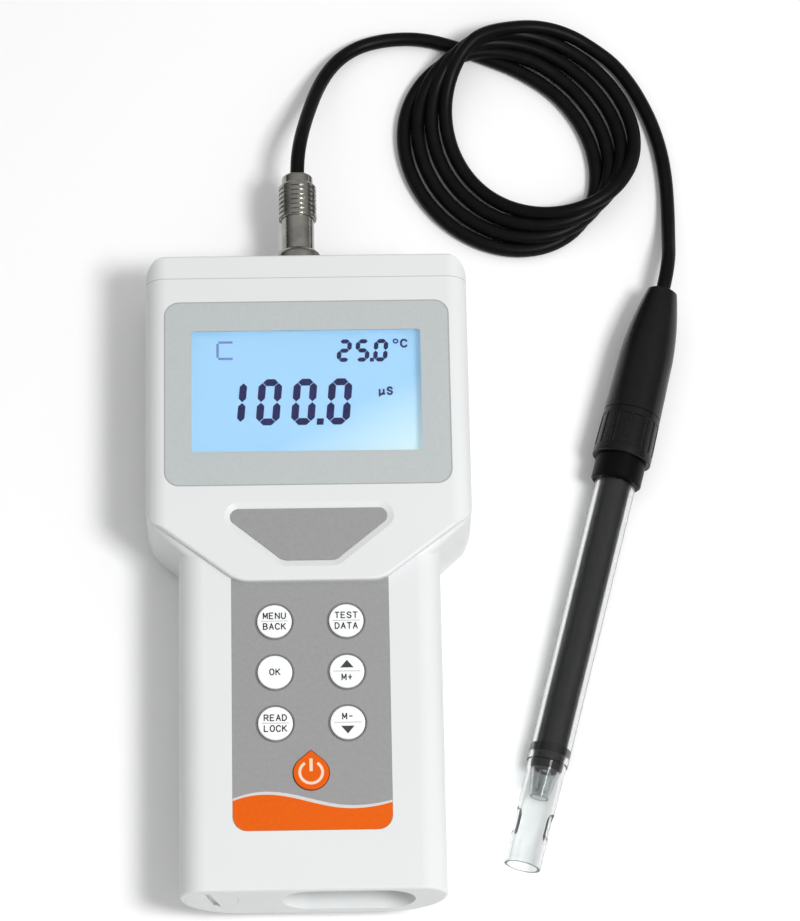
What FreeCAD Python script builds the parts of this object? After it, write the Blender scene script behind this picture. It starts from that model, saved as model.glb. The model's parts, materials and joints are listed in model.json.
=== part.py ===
"""Handheld water quality meter with a plug-in conductivity probe, as a parametric assembly.

The frame is +Z up and +Y towards the socket end. The meter lies on its flat back, with the
origin at the middle of that back. All lengths are in millimetres.
"""
import FreeCAD, Part
import Sketcher
import math
import os
import re

from FreeCAD import Placement, Rotation, Vector

doc = FreeCAD.newDocument("WaterQualityProbe")
nodes = {}

# ---------------------------------------------------------------- driving dimensions

SIZES = {
    # case
    "body_length": 193, "head_width": 94, "handle_width": 75, "face_height": 33,
    "front_height": 31, "split_height": 17, "widest_height": 24, "wall": 2, "head_wall": 2.2,
    "head_front_round": 6, "head_back_round": 10, "handle_front_round": 7, "handle_back_round": 24,
    "seam_place": 89.1, "cap_corner_round": 6.2, "cap_wall": 3, "heel_rise": 10.3,
    "end_round": 0.8, "step_round": 0.8, "end_block": 12.5,
    "chin_place": -5.3, "chin_flat_half": 17.3, "chin_round": 10, "chin_turn_x": 23.39,
    "chin_turn_y": -3.23, "side_turn_x": 43.88, "side_turn_y": 12.55, "side_round": 8,
    "side_end": 18.89,
    "block_half": 46, "block_shoulder": 13.6, "block_low_half": 28, "block_low": -2.9,
    "block_top": 40, "block_corner_round": 6, "block_front_round": 2.4, "block_back_round": 5,
    "head_room_end": 22, "head_room_top": 29.8,
    "pocket_x": 9.85, "pocket_z": 20.9, "pocket_length": 37.5, "pocket_width": 17,
    "pocket_depth": 9,
    # screws
    "screw_side": 41, "screw_top": 84.5, "screw_middle": 17.5, "screw_handle": -30,
    "screw_end": -80, "post_radius": 3, "screw_radius": 1.2, "screw_hole": 1.28,
    "screw_head_radius": 2.4, "screw_head_hole": 2.6, "screw_seat": 3, "screw_tip": 24,
    # display
    "lens_width": 83, "lens_height": 57.8, "lens_middle": 52.7, "lens_round": 4.5,
    "lens_seat": 31.2, "lens_thick": 1.5, "border_thick": 0.25,
    "window_width": 66.6, "window_height": 38, "window_middle": 53.3, "window_x": -0.2,
    "window_round": 1,
    "opening_width": 70, "opening_height": 42, "glass_width": 76, "glass_height": 50,
    "glass_low": 27.1, "glass_thick": 2.6, "light_width": 74, "light_height": 44,
    "light_low": 24.5, "light_thick": 2.5, "frame_width": 80, "frame_height": 54,
    "strip_length": 60, "strip_place": 23.75, "strip_thick": 1.7,
    # keypad
    "label_half": 22.45, "label_top": -3, "label_bottom": -79.2, "label_thick": 0.3,
    "label_round": 4.2, "key_radius": 4.95, "key_hole_radius": 5.3, "label_hole_radius": 5.15,
    "key_column": 10.2, "key_row": -17.2, "key_pitch": 15.27, "key_proud": 0.6,
    "key_flange_low": 28.1, "key_flange_top": 28.7, "key_flange_radius": 6,
    "key_stem_radius": 1.6, "key_stem_low": 26.2, "key_edge": 0.35, "power_y": -62.4,
    "power_x": -0.3, "drop_radius": 5.05, "drop_tip": 6.6, "drop_gap": 0.35,
    "guide_low": 26.6, "guide_thick": 0.7, "guide_hole": 2,
    # name plate
    "plate_top": 16.7, "plate_bottom": 0.9, "plate_top_half": 20.03, "plate_side_x": 21.56,
    "plate_side_y": 12.45, "plate_low_x": 9.4, "plate_low_y": 2.4, "plate_low_half": 6,
    "plate_corner": 2.4, "plate_low_corner": 4, "plate_thick": 0.45, "plate_seat": 32.3,
    "dish_margin": 1.8,
    # boards
    "board_thick": 1.6, "main_board_low": 19, "main_board_half": 37.5, "main_board_end": 24,
    "main_board_top": 82, "keypad_board_low": 23.4, "keypad_board_half": 20.5,
    "keypad_board_end": -76, "keypad_board_top": -8, "dome_radius": 3, "dome_thick": 0.5,
    # battery bay
    "battery_x": -28.4, "battery_z": 21.8, "bush_radius": 8.3, "cap_seat": 3.5,
    "cap_radius": 7.4, "cap_bore": 7.48, "cap_thick": 2.5, "shank_radius": 6.5,
    "shank_bore": 6.58, "slot_length": 12.4, "slot_width": 2, "slot_depth": 1.2,
    "slot_lean": 13, "cell_radius": 5.2, "cell_length": 44.5, "cell_start": -82.2,
    "bay_bore": 5.45, "bay_radius": 6.35, "bay_end": 9.5, "spring_radius": 3.6,
    "spring_wire": 0.35, "shank_end": -86.2,
    # socket and plug
    "socket_x": -2.2, "socket_z": 18.5, "seal_radius": 7.4, "flange_radius": 7.1,
    "dome_start": 100.8, "dome_round": 2.5, "thread_radius": 5, "barrel_radius": 4.8,
    "barrel_bore": 4.1, "sleeve_radius": 5.65, "sleeve_bore": 4.9,
    "socket_face": 103.5, "barrel_end": 119, "sleeve_front": 114.1,
    "sleeve_back": 125.3, "plug_back": 128.3, "nut_radius": 7, "pin_spread": 1.6,
    "pin_radius": 0.5, "pin_sleeve_bore": 0.55, "pin_sleeve_radius": 0.85,
    # lead
    "cable_diameter": 4.2, "coil_x": 59.1, "coil_y": 143.6, "coil_creep": 5.7,
    "coil_way": 36, "coil_long": 33.2, "coil_short": 28.1, "coil_height": 15,
    "saddle_radius": 60, "saddle_low": 4.6, "saddle_length": 160,
    # probe
    "probe_x": 106.2, "probe_y": 93.3, "probe_yaw": 14.9,
    "probe_cap_top": 4.4, "probe_cap_flare": 8.05, "probe_cap_rim": 8.75,
    "flare_end": 25, "rim_start": 41, "probe_cap_end": 55.5, "collar_end": 63,
    "collar_radius": 7.4, "tube_outer": 6, "spigot_radius": 5.8, "tube_inner": 4.85,
    "tube_start": 30,
    "tube_end": 151, "core_radius": 4.5, "core_start": 28, "core_end": 153.3,
    "tip_start_radius": 5.6, "tip_end_radius": 5.25, "tip_bore": 4.4, "tip_end": 182.3,
    "vent_place": 169.5, "vent_length": 8, "vent_width": 4,
}

sheet = doc.addObject("Spreadsheet::Sheet", "Sizes")
for row, (alias, number) in enumerate(SIZES.items(), start=1):
    sheet.set(f"A{row}", alias)
    sheet.set(f"B{row}", str(number))
    sheet.setAlias(f"B{row}", alias)
doc.recompute()


def bound(text):
    """The expression with every name read from the sheet."""
    return re.sub(r"\b(?!sqrt\b|cos\b|sin\b|tan\b)([a-z]\w*)", r"Sizes.\1", str(text))


def size(text):
    """The value of an expression in the sheet's names."""
    return float(sheet.evalExpression(bound(text)))


def point(x, y, z):
    return Vector(size(x), size(y), size(z))


def node(label, item):
    """Name a finished sub-part: its label is its file and node name."""
    item.Label = label
    nodes[label] = item
    return item


# ---------------------------------------------------------------- sketches and features

def bind_point(sketch, geo, end, name, x, y):
    """Hold one end of an edge at (x, y), both driven by the sheet."""
    for axis, text in (("X", x), ("Y", y)):
        index = sketch.addConstraint(Sketcher.Constraint(f"Distance{axis}", geo, end, size(text)))
        sketch.renameConstraint(index, f"{name}{axis.lower()}")
        sketch.setExpression(f"Constraints.{name}{axis.lower()}", bound(text))


def outline(sketch, corners):
    """Closed outline through corners (x, y). A third item is the radius of the arc that leads on
    to the next corner: positive turns left, negative turns right."""
    ends = []
    for index, corner in enumerate(corners):
        x, y = corner[:2]
        far_x, far_y = corners[(index + 1) % len(corners)][:2]
        near = Vector(size(x), size(y), 0)
        far = Vector(size(far_x), size(far_y), 0)
        if len(corner) == 2:
            ends.append((sketch.addGeometry(Part.LineSegment(near, far)), 1, 2))
            continue
        radius = size(corner[2])
        chord = far - near
        across = Vector(chord.y, -chord.x, 0).normalize()
        sagitta = abs(radius) - math.sqrt(max(radius ** 2 - chord.Length ** 2 / 4, 0))
        middle = (near + far) * 0.5 + across * math.copysign(sagitta, radius)
        if radius > 0:
            ends.append((sketch.addGeometry(Part.ArcOfCircle(near, middle, far)), 1, 2))
        else:
            ends.append((sketch.addGeometry(Part.ArcOfCircle(far, middle, near)), 2, 1))
    for index, (geo, start, _) in enumerate(ends):
        last_geo, _, last_end = ends[index - 1]
        sketch.addConstraint(Sketcher.Constraint("Coincident", last_geo, last_end, geo, start))
        bind_point(sketch, geo, start, f"p{geo}", *corners[index][:2])
        if len(corners[index]) == 3:
            text = str(corners[index][2]).lstrip("-")
            fixed = sketch.addConstraint(Sketcher.Constraint("Radius", geo, size(text)))
            sketch.renameConstraint(fixed, f"r{geo}")
            sketch.setExpression(f"Constraints.r{geo}", bound(text))


def circle(sketch, x, y, radius):
    geo = sketch.addGeometry(Part.Circle(Vector(size(x), size(y), 0), Vector(0, 0, 1), size(radius)))
    bind_point(sketch, geo, 3, f"c{geo}", x, y)
    fixed = sketch.addConstraint(Sketcher.Constraint("Radius", geo, size(radius)))
    sketch.renameConstraint(fixed, f"r{geo}")
    sketch.setExpression(f"Constraints.r{geo}", bound(radius))


def rectangle(x_low, y_low, x_high, y_high):
    return [(x_low, y_low), (x_high, y_low), (x_high, y_high), (x_low, y_high)]


def body_sketch(body, name, role, offset="0"):
    """Sketch on one of the body's own origin planes, moved along its normal."""
    sketch = body.newObject("Sketcher::SketchObject", name)
    plane = next(item for item in body.Origin.OriginFeatures if item.Role == role)
    sketch.AttachmentSupport = (plane, "")
    sketch.MapMode = "FlatFace"
    sketch.setExpression("AttachmentOffset.Base.z", bound(offset))
    return sketch


def feature(body, kind, sketch, length=None, **settings):
    """Add a sketch-based feature and check that it changed the solid."""
    doc.recompute()
    before = body.Shape.Volume if body.Tip else 0
    item = body.newObject(f"PartDesign::{kind}", kind)
    item.Profile = sketch
    if length is not None:
        item.setExpression("Length", bound(length))
    for key, setting in settings.items():
        setattr(item, key, setting)
    doc.recompute()
    change = body.Shape.Volume - before
    wrong = change >= -1e-6 if kind in ("Pocket", "Groove") else change <= 1e-6
    if wrong:
        raise RuntimeError(f"{body.Label} {item.Name} changed the volume by {change:.3f}")
    return item


def new_body(label):
    body = doc.addObject("PartDesign::Body", label)
    return node(label, body)


def plate(label, corners, low, thickness, *cuts):
    """Flat body: an outline at height low, with through cuts, each a list of corners or a
    circle (x, y, radius)."""
    body = new_body(label)
    sketch = body_sketch(body, "Outline", "XY_Plane", low)
    outline(sketch, corners)
    for cut_out in cuts:
        if isinstance(cut_out, tuple):
            circle(sketch, *cut_out)
        else:
            outline(sketch, cut_out)
    feature(body, "Pad", sketch, thickness)
    return body


def turned(label, profile, at=None, turn=None):
    """Body turned about its own Z axis from an outline of (radius, height) corners."""
    body = new_body(label)
    sketch = body_sketch(body, "Profile", "XZ_Plane")
    outline(sketch, profile)
    feature(body, "Revolution", sketch, ReferenceAxis=(sketch, ["V_Axis"]), Angle=360)
    if at is not None:
        body.Placement = Placement(at, turn or Rotation())
    return body


# ---------------------------------------------------------------- Part workbench tools

def tool(kind, name, **settings):
    item = doc.addObject(f"Part::{kind}", name)
    for key, setting in settings.items():
        setattr(item, key, setting)
    return item


def box(name, x_low, x_high, y_low, y_high, z_low, z_high):
    item = tool("Box", name)
    for side, low, high in (("Length", x_low, x_high), ("Width", y_low, y_high),
                            ("Height", z_low, z_high)):
        item.setExpression(side, bound(f"({high}) - ({low})"))
    for axis, low in (("x", x_low), ("y", y_low), ("z", z_low)):
        item.setExpression(f"Placement.Base.{axis}", bound(low))
    return item


ALONG = {"x": Rotation(Vector(0, 1, 0), 90), "y": Rotation(Vector(1, 0, 0), -90), "z": Rotation()}


def cylinder(name, axis, x, y, z, radius, length):
    """Cylinder that starts at (x, y, z) and runs along +axis."""
    item = tool("Cylinder", name, Placement=Placement(point(x, y, z), ALONG[axis]))
    item.setExpression("Radius", bound(radius))
    item.setExpression("Height", bound(length))
    for key, text in (("x", x), ("y", y), ("z", z)):
        item.setExpression(f"Placement.Base.{key}", bound(text))
    return item


def fuse(name, *parts):
    return tool("MultiFuse", name, Shapes=list(parts), Refine=True)


def cut(name, base, *tools):
    taken = tools[0] if len(tools) == 1 else tool("MultiFuse", f"{name}Tools", Shapes=list(tools))
    return tool("Cut", name, Base=base, Tool=taken, Refine=True)


def common(name, *parts):
    return tool("MultiCommon", name, Shapes=list(parts), Refine=True)


def loose_sketch(name, corners, plane="xy", offset="0"):
    """Sketch outside a body: xy looks down at height offset, xz faces -Y at place offset."""
    sketch = doc.addObject("Sketcher::SketchObject", name)
    turn = Rotation(Vector(1, 0, 0), 90) if plane == "xz" else Rotation()
    sketch.Placement = Placement(Vector(), turn)
    sketch.setExpression("Placement.Base.z" if plane == "xy" else "Placement.Base.y", bound(offset))
    outline(sketch, corners)
    return sketch


def extrude(name, corners, low, high, plane="xy"):
    """Prism on an outline: between two heights, or between two places along Y."""
    sketch = loose_sketch(f"{name}Sketch", corners, plane, low)
    way = Vector(0, 1, 0) if plane == "xz" else Vector(0, 0, 1)
    item = tool("Extrusion", name, Base=sketch, DirMode="Custom", Dir=way, Solid=True)
    item.setExpression("LengthFwd", bound(f"({high}) - ({low})"))
    return item


def round_edges(name, base, chosen):
    """Part fillet: chosen(edge) gives None, or the radii at the edge's two ends."""
    doc.recompute()
    edges = []
    for index, edge in enumerate(base.Shape.Edges, 1):
        radii = chosen(edge)
        if radii:
            edges.append((index, *radii))
    return tool("Fillet", name, Base=base, Edges=edges)


def mirrored(corners):
    """The same outline on the other side of the YZ plane, still counter-clockwise."""
    flipped = []
    for index in range(len(corners) - 1, -1, -1):
        x, y = corners[index][:2]
        before = corners[index - 1]
        flipped.append((f"-({x})", y, *before[2:]))
    return flipped



def at_point(edge, x=None, y=None, z=None, reach=0.05):
    """True when the whole edge lies at the given x, y or z."""
    box_ = edge.BoundBox
    for low, high, value in ((box_.XMin, box_.XMax, x), (box_.YMin, box_.YMax, y),
                             (box_.ZMin, box_.ZMax, z)):
        if value is not None and (abs(low - value) > reach or abs(high - value) > reach):
            return False
    return True


def upright(edge):
    return edge.BoundBox.XLength < 0.01 and edge.BoundBox.YLength < 0.01


# ---------------------------------------------------------------- case

BOTTOM = "-body_length / 2"
TOP = "body_length / 2"
HEAD = "head_width / 2"
HANDLE = "handle_width / 2"

# The head's section stands a hair wider than its plan, so that no two faces of the pair coincide.
SIDE = "(head_width / 2 + 0.02)"
head_section = [
    (f"-({SIDE} - head_back_round)", "0"),
    (f"{SIDE} - head_back_round", "0", "head_back_round"),
    (SIDE, "head_back_round"),
    (SIDE, "face_height - head_front_round", "head_front_round"),
    (f"{SIDE} - head_front_round", "face_height"),
    (f"-({SIDE} - head_front_round)", "face_height", "head_front_round"),
    (f"-{SIDE}", "face_height - head_front_round"),
    (f"-{SIDE}", "head_back_round", "head_back_round"),
]
face_plan = [
    ("-chin_flat_half", "chin_place"),
    ("chin_flat_half", "chin_place", "chin_round"),
    ("chin_turn_x", "chin_turn_y"),
    ("side_turn_x", "side_turn_y", "side_round"),
    (HEAD, "side_end"),
    (HEAD, "body_length / 2 - cap_corner_round", "cap_corner_round"),
    ("head_width / 2 - cap_corner_round", TOP),
    ("-(head_width / 2 - cap_corner_round)", TOP, "cap_corner_round"),
    ("-head_width / 2", "body_length / 2 - cap_corner_round"),
    ("-head_width / 2", "side_end", "side_round"),
    ("-side_turn_x", "side_turn_y"),
    ("-chin_turn_x", "chin_turn_y", "chin_round"),
]
block_plan = [
    ("-block_low_half", "block_low"),
    ("block_low_half", "block_low"),
    ("block_half", "block_shoulder"),
    ("block_half", "block_top"),
    ("-block_half", "block_top"),
    ("-block_half", "block_shoulder"),
]


def handle_section(inset):
    """The handle's cross-section, moved inwards by inset."""
    flat = "(handle_width / 2 - handle_back_round)"
    front = "(handle_width / 2 - handle_front_round)"
    return [
        (f"-{flat}", inset),
        (flat, inset, f"handle_back_round - {inset}"),
        (f"{HANDLE} - {inset}", "widest_height", f"handle_front_round - {inset}"),
        (front, f"front_height - {inset}"),
        (f"-{front}", f"front_height - {inset}", f"handle_front_round - {inset}"),
        (f"-({HANDLE} - {inset})", "widest_height", f"handle_back_round - {inset}"),
    ]


def heel(edge):
    """Radii along the handle's end: nothing at its widest line, the full rise at its back."""
    if not at_point(edge, y=size(BOTTOM)):
        return None
    first, last = (v.Point.z for v in edge.Vertexes)
    if max(first, last) > size("widest_height") + 0.1:
        return (size("end_round"), size("end_round"))
    rise = size("heel_rise")
    return tuple(size("end_round") if z > 1 else rise for z in (first, last))


def face_rim(edge):
    """The rim of the raised face; the chin is tangent all round, so it is one chain."""
    if at_point(edge, z=size("face_height")):
        return (size("step_round"), size("step_round"))
    return None


def block_edges(edge):
    """Corners and rims of the shoulder block."""
    if upright(edge) and abs(edge.BoundBox.YMin - size("block_shoulder")) < 0.1:
        return (size("block_corner_round"), size("block_corner_round"))
    if edge.BoundBox.YMin > size("block_low") - 0.1 and edge.BoundBox.YLength > 1:
        if at_point(edge, z=size("front_height")):
            return (size("block_front_round"), size("block_front_round"))
        if at_point(edge, z=0):
            return (size("block_back_round"), size("block_back_round"))
    return None


face_form = round_edges("FaceForm", extrude("FacePlan", face_plan, "0", "face_height"), face_rim)
head_form = common(
    "HeadForm", face_form,
    extrude("HeadSection", head_section, "chin_place - 1", "body_length / 2 + 1", "xz"),
)
block_form = round_edges("BlockForm", extrude("BlockPlan", block_plan, "0", "front_height"), block_edges)
block_trimmed = common(
    "BlockTrimmed", block_form,
    extrude("BlockSection", head_section, "block_low - 1", "block_top + 1", "xz"),
)
handle_form = round_edges(
    "HandleForm", extrude("HandleSection", handle_section("0"), BOTTOM, "side_end", "xz"), heel)
case_form = fuse("CaseForm", head_form, block_trimmed, handle_form)

rear_corner = "(head_back_round - head_wall)"
front_corner = "(head_room_top - (face_height - head_front_round))"
room_half = "(head_width / 2 - head_wall)"
head_room = extrude("HeadRoom", [
    (f"-({room_half} - {rear_corner})", "head_wall"),
    (f"{room_half} - {rear_corner}", "head_wall", rear_corner),
    (room_half, "head_back_round"),
    (room_half, "face_height - head_front_round", front_corner),
    (f"{room_half} - {front_corner}", "head_room_top"),
    (f"-({room_half} - {front_corner})", "head_room_top", front_corner),
    (f"-{room_half}", "face_height - head_front_round"),
    (f"-{room_half}", "head_back_round", rear_corner),
], "head_room_end", "body_length / 2 - cap_wall", "xz")
handle_room = extrude(
    "HandleRoom", handle_section("wall"), "-body_length / 2 + end_block", "head_room_end + 1", "xz")

SCREWS = [("-screw_side", "screw_top"), ("screw_side", "screw_top"), ("-screw_side", "screw_middle"),
          ("screw_side", "screw_middle"), ("0", "screw_handle"), ("0", "screw_end")]
posts = common("ScrewPosts", case_form, fuse("PostRods", *[
    cylinder(f"Post{i}", "z", x, y, "1", "post_radius", "front_height - 2")
    for i, (x, y) in enumerate(SCREWS)]))
screw_ways = fuse("ScrewWays", *[
    item for i, (x, y) in enumerate(SCREWS) for item in (
        cylinder(f"ScrewHole{i}", "z", x, y, "0", "screw_hole", "screw_tip + 0.5"),
        cylinder(f"ScrewSeat{i}", "z", x, y, "-1", "screw_head_hole", "screw_seat + 1"))])


def rounded_rectangle(x_middle, y_middle, width, height, radius):
    x_low, x_high = f"{x_middle} - {width} / 2", f"{x_middle} + {width} / 2"
    y_low, y_high = f"{y_middle} - {height} / 2", f"{y_middle} + {height} / 2"
    return [
        (f"{x_low} + {radius}", y_low), (f"{x_high} - {radius}", y_low, radius),
        (x_high, f"{y_low} + {radius}"), (x_high, f"{y_high} - {radius}", radius),
        (f"{x_high} - {radius}", y_high), (f"{x_low} + {radius}", y_high, radius),
        (x_low, f"{y_high} - {radius}"), (x_low, f"{y_low} + {radius}", radius),
    ]


def middle_rectangle(x_middle, y_middle, width, height):
    return rectangle(f"{x_middle} - {width} / 2", f"{y_middle} - {height} / 2",
                     f"{x_middle} + {width} / 2", f"{y_middle} + {height} / 2")


def label_outline(gap):
    """The keypad label, smaller all round by gap."""
    half, low = f"(label_half - {gap})", f"(label_bottom + {gap})"
    return [
        (f"-({half} - label_round)", low), (f"{half} - label_round", low, "label_round"),
        (half, f"{low} + label_round"), (half, f"label_top - {gap}"),
        (f"-{half}", f"label_top - {gap}"), (f"-{half}", f"{low} + label_round", "label_round"),
    ]


def drop_outline(gap):
    """The power key's drop shape, larger all round by gap."""
    radius, tip = f"(drop_radius + {gap})", f"(drop_tip + 1.3 * {gap})"
    side_y = f"({radius} * {radius} / {tip})"
    side_x = f"sqrt({radius} * {radius} - {side_y} * {side_y})"
    return [
        ("power_x", f"power_y + {tip}"),
        (f"power_x - {side_x}", f"power_y + {side_y}", radius),
        ("power_x", f"power_y - {radius}", radius),
        (f"power_x + {side_x}", f"power_y + {side_y}"),
    ]


PLATE = [
    ("-plate_low_half", "plate_bottom"), ("plate_low_half", "plate_bottom", "plate_low_corner"),
    ("plate_low_x", "plate_low_y"), ("plate_side_x", "plate_side_y", "plate_corner"),
    ("plate_top_half", "plate_top"), ("-plate_top_half", "plate_top", "plate_corner"),
    ("-plate_side_x", "plate_side_y"), ("-plate_low_x", "plate_low_y", "plate_low_corner"),
]
LENS = rounded_rectangle("0", "lens_middle", "lens_width", "lens_height", "lens_round")
KEYS = [("menu", -1, 0), ("cal", 1, 0), ("set", -1, 1), ("up", 1, 1), ("hold", -1, 2), ("down", 1, 2)]


def key_place(side, row):
    return f"{side} * key_column", f"key_row - {row} * key_pitch"


dish = extrude("Dish", PLATE, "plate_seat", "face_height + 0.3")
dish.TaperAngle = 70
display_seat = extrude("DisplaySeat", LENS, "lens_seat", "face_height + 1")
display_way = box("DisplayWay", "window_x - opening_width / 2", "window_x + opening_width / 2",
                  "window_middle - opening_height / 2", "window_middle + opening_height / 2",
                  "head_room_top - 1", "lens_seat + 1")
label_seat = extrude("LabelSeat", label_outline("0"), "front_height - label_thick", "front_height")
power_way = extrude("PowerWay", drop_outline("drop_gap"), "front_height - 3", "face_height")
key_ways = fuse("KeyWays", power_way, *[
    cylinder(f"KeyWay{name.title()}", "z", *key_place(side, row), "front_height - 3",
             "key_hole_radius", "4")
    for name, side, row in KEYS])
bush_way = cylinder("BushWay", "y", "battery_x", f"{BOTTOM} - 1", "battery_z", "bush_radius",
                    "end_block + 2")
pocket_reach = "(pocket_length / 2 - pocket_width / 2)"
pocket = extrude("Pocket", [
    (f"pocket_x - {pocket_reach}", "pocket_z - pocket_width / 2"),
    (f"pocket_x + {pocket_reach}", "pocket_z - pocket_width / 2", "pocket_width / 2"),
    (f"pocket_x + {pocket_reach} + pocket_width / 2", "pocket_z", "pocket_width / 2"),
    (f"pocket_x + {pocket_reach}", "pocket_z + pocket_width / 2"),
    (f"pocket_x - {pocket_reach}", "pocket_z + pocket_width / 2", "pocket_width / 2"),
    (f"pocket_x - {pocket_reach} - pocket_width / 2", "pocket_z", "pocket_width / 2"),
], f"{BOTTOM} - 1", f"{BOTTOM} + pocket_depth", "xz")
pocket_round = round_edges(
    "PocketRound", pocket,
    lambda edge: (3, 3) if at_point(edge, y=size(f"{BOTTOM} + pocket_depth")) else None)

bay_hollow = cylinder("BayHollow", "y", "battery_x", "-70", "battery_z", "bay_radius + 0.05", "80")
cradles = cut("Cradles", common("CradleBlocks", case_form, fuse(
    "CradleBars",
    box("CradleLow", "battery_x - 7", "battery_x + 6", "-61", "-58", "1", "split_height"),
    box("CradleHigh", "battery_x - 7", "battery_x + 6", "-3", "0", "1", "split_height"))), bay_hollow)

case_body = cut(
    "CaseBody",
    fuse("CaseWithPosts", cut("HollowCase", case_form, head_room, handle_room), posts),
    screw_ways, dish, display_seat, display_way, label_seat, key_ways, bush_way, pocket_round)
front_shell = common("FrontShell", case_body, box(
    "FrontSpace", "-50", "50", f"{BOTTOM} - 1", "seam_place", "split_height", "face_height + 1"))
node("front_shell", front_shell)

seal_rail = [
    ("35.9", "-83.9"), ("35.9", "5"), ("46.3", "17.5"), ("46.3", "89"), ("45.5", "89"),
    ("45.5", "17.8"), ("35.1", "5.3"), ("35.1", "-83.9"),
]
seal_grooves = fuse(
    "SealGrooves", extrude("SealGroove", seal_rail, "split_height - 1", "split_height + 1"),
    extrude("SealGrooveOther", mirrored(seal_rail), "split_height - 1", "split_height + 1"))
rear_blank = common("RearBlank", case_body, box(
    "RearSpace", "-50", "50", f"{BOTTOM} - 1", "seam_place", "-1", "split_height"))
board_posts = fuse("BoardPosts", *[
    cylinder(f"BoardPost{i}", "z", x, y, "1", "2", "main_board_low - 1")
    for i, (x, y) in enumerate((("-33", "30"), ("33", "30"), ("-33", "76"), ("33", "76")))])
node("rear_shell", cut(
    "RearShell", fuse("RearWithPosts", rear_blank, board_posts, cradles), seal_grooves))

cap_hole = cylinder("CapHole", "y", "socket_x", "seam_place", "socket_z", "thread_radius + 0.08", "10")
node("top_cap", cut("TopCap", common("CapBlank", case_body, box(
    "CapSpace", "-50", "50", "seam_place", f"{TOP} + 1", "-1", "face_height + 1")), cap_hole))

cap_seal = cut(
    "TopCapSeal",
    box("CapSealOuter", "-44.5", "44.5", "seam_place - 1", "seam_place", "12", "26"),
    box("CapSealInner", "-43", "43", "seam_place - 2", "seam_place + 1", "13.5", "24.5"))
node("top_cap_seal", cap_seal)

rail_low = [
    ("35.85", "-83.85"), ("35.85", "5"), ("46.25", "17.5"), ("46.25", "88.95"), ("45.55", "88.95"),
    ("45.55", "17.8"), ("35.15", "5.3"), ("35.15", "-83.85"),
]
node("shell_seals", tool("Compound", "ShellSeals", Links=[
    extrude("SealRail", rail_low, "split_height - 1", "split_height"),
    extrude("SealRailOther", mirrored(rail_low), "split_height - 1", "split_height")]))


def screw(name, x, y):
    return fuse(name, cylinder(f"{name}Head", "z", x, y, "screw_seat - 1.6", "screw_head_radius", "1.6"),
                cylinder(f"{name}Shank", "z", x, y, "screw_seat - 0.5", "screw_radius",
                         "screw_tip - screw_seat + 0.5"))


node("case_screws", tool("Compound", "CaseScrews", Links=[
    screw(f"Screw{i}", x, y) for i, (x, y) in enumerate(SCREWS)]))

# ---------------------------------------------------------------- display

LENS_LOOSE = rounded_rectangle("0", "lens_middle", "(lens_width - 0.1)", "(lens_height - 0.1)",
                               "lens_round")
plate("display_border", LENS_LOOSE, "face_height - border_thick", "border_thick",
      rounded_rectangle("window_x", "window_middle", "window_width", "window_height",
                        "window_round"))
plate("display_lens", LENS_LOOSE, "lens_seat", "lens_thick")


def display_plate(label, width, height, low, thick):
    return plate(label, middle_rectangle("window_x", "window_middle", width, height), low, thick)


display_plate("lcd_glass", "glass_width", "glass_height", "glass_low", "glass_thick")
display_plate("lcd_backlight", "light_width", "light_height", "light_low", "light_thick")


def display_box(name, width, height, low, high, shift="0"):
    y_middle = f"window_middle + ({shift})"
    return box(name, f"window_x - {width} / 2", f"window_x + {width} / 2",
               f"{y_middle} - {height} / 2", f"{y_middle} + {height} / 2", low, high)


board_face = "main_board_low + board_thick"
node("lcd_frame", cut(
    "LcdFrame", display_box("FrameBlock", "frame_width", "frame_height", board_face, "glass_low + 2.65"),
    display_box("GlassSeat", "(glass_width + 0.2)", "(glass_height + 0.2)", "glass_low", "face_height"),
    display_box("LightSeat", "(light_width + 0.1)", "(light_height + 0.1)", "light_low", "face_height"),
    display_box("FrameWay", "opening_width", "(opening_height - 2)", "1", "face_height"),
    display_box("StripWay", "(strip_length + 0.2)", "(strip_thick + 0.05)", "1", "face_height",
                "strip_place"),
    display_box("StripWayLow", "(strip_length + 0.2)", "(strip_thick + 0.05)", "1", "face_height",
                "-strip_place")))
node("lcd_connectors", tool("Compound", "LcdConnectors", Links=[
    display_box("Strip", "strip_length", "strip_thick", board_face, "glass_low", "strip_place"),
    display_box("StripLow", "strip_length", "strip_thick", board_face, "glass_low", "-strip_place")]))

# ---------------------------------------------------------------- boards

plate("main_board", rectangle("-main_board_half", "main_board_end", "main_board_half", "main_board_top"),
      "main_board_low", "board_thick")
CHIPS = [("0", "60", "12", "12", "1.8"), ("-20", "62", "8", "6", "1.5"), ("20", "46", "10", "5", "1.5"),
         ("-14", "40", "5", "9", "2.4"), ("22", "66", "9", "4", "3.2")]
node("board_parts", tool("Compound", "BoardParts", Links=[
    box(f"Chip{i}", f"{x} - {w} / 2", f"{x} + {w} / 2", f"{y} - {h} / 2", f"{y} + {h} / 2",
        f"main_board_low - {deep}", "main_board_low")
    for i, (x, y, w, h, deep) in enumerate(CHIPS)]))
HANDLE_BOARD = rectangle("-keypad_board_half", "keypad_board_end", "keypad_board_half",
                         "keypad_board_top")
POST_WAY = ("0", "screw_handle", "post_radius + 0.4")
plate("keypad_board", HANDLE_BOARD, "keypad_board_low", "board_thick", POST_WAY)
plate("key_guide", HANDLE_BOARD, "guide_low", "guide_thick", POST_WAY,
      ("power_x", "power_y", "guide_hole"),
      *[(*key_place(side, row), "guide_hole") for _, side, row in KEYS])
DOMES = [key_place(side, row) for _, side, row in KEYS] + [("power_x", "power_y")]
node("dome_switches", tool("Compound", "DomeSwitches", Links=[
    cylinder(f"Dome{i}", "z", x, y, "keypad_board_low + board_thick", "dome_radius", "dome_thick")
    for i, (x, y) in enumerate(DOMES)]))

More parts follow.
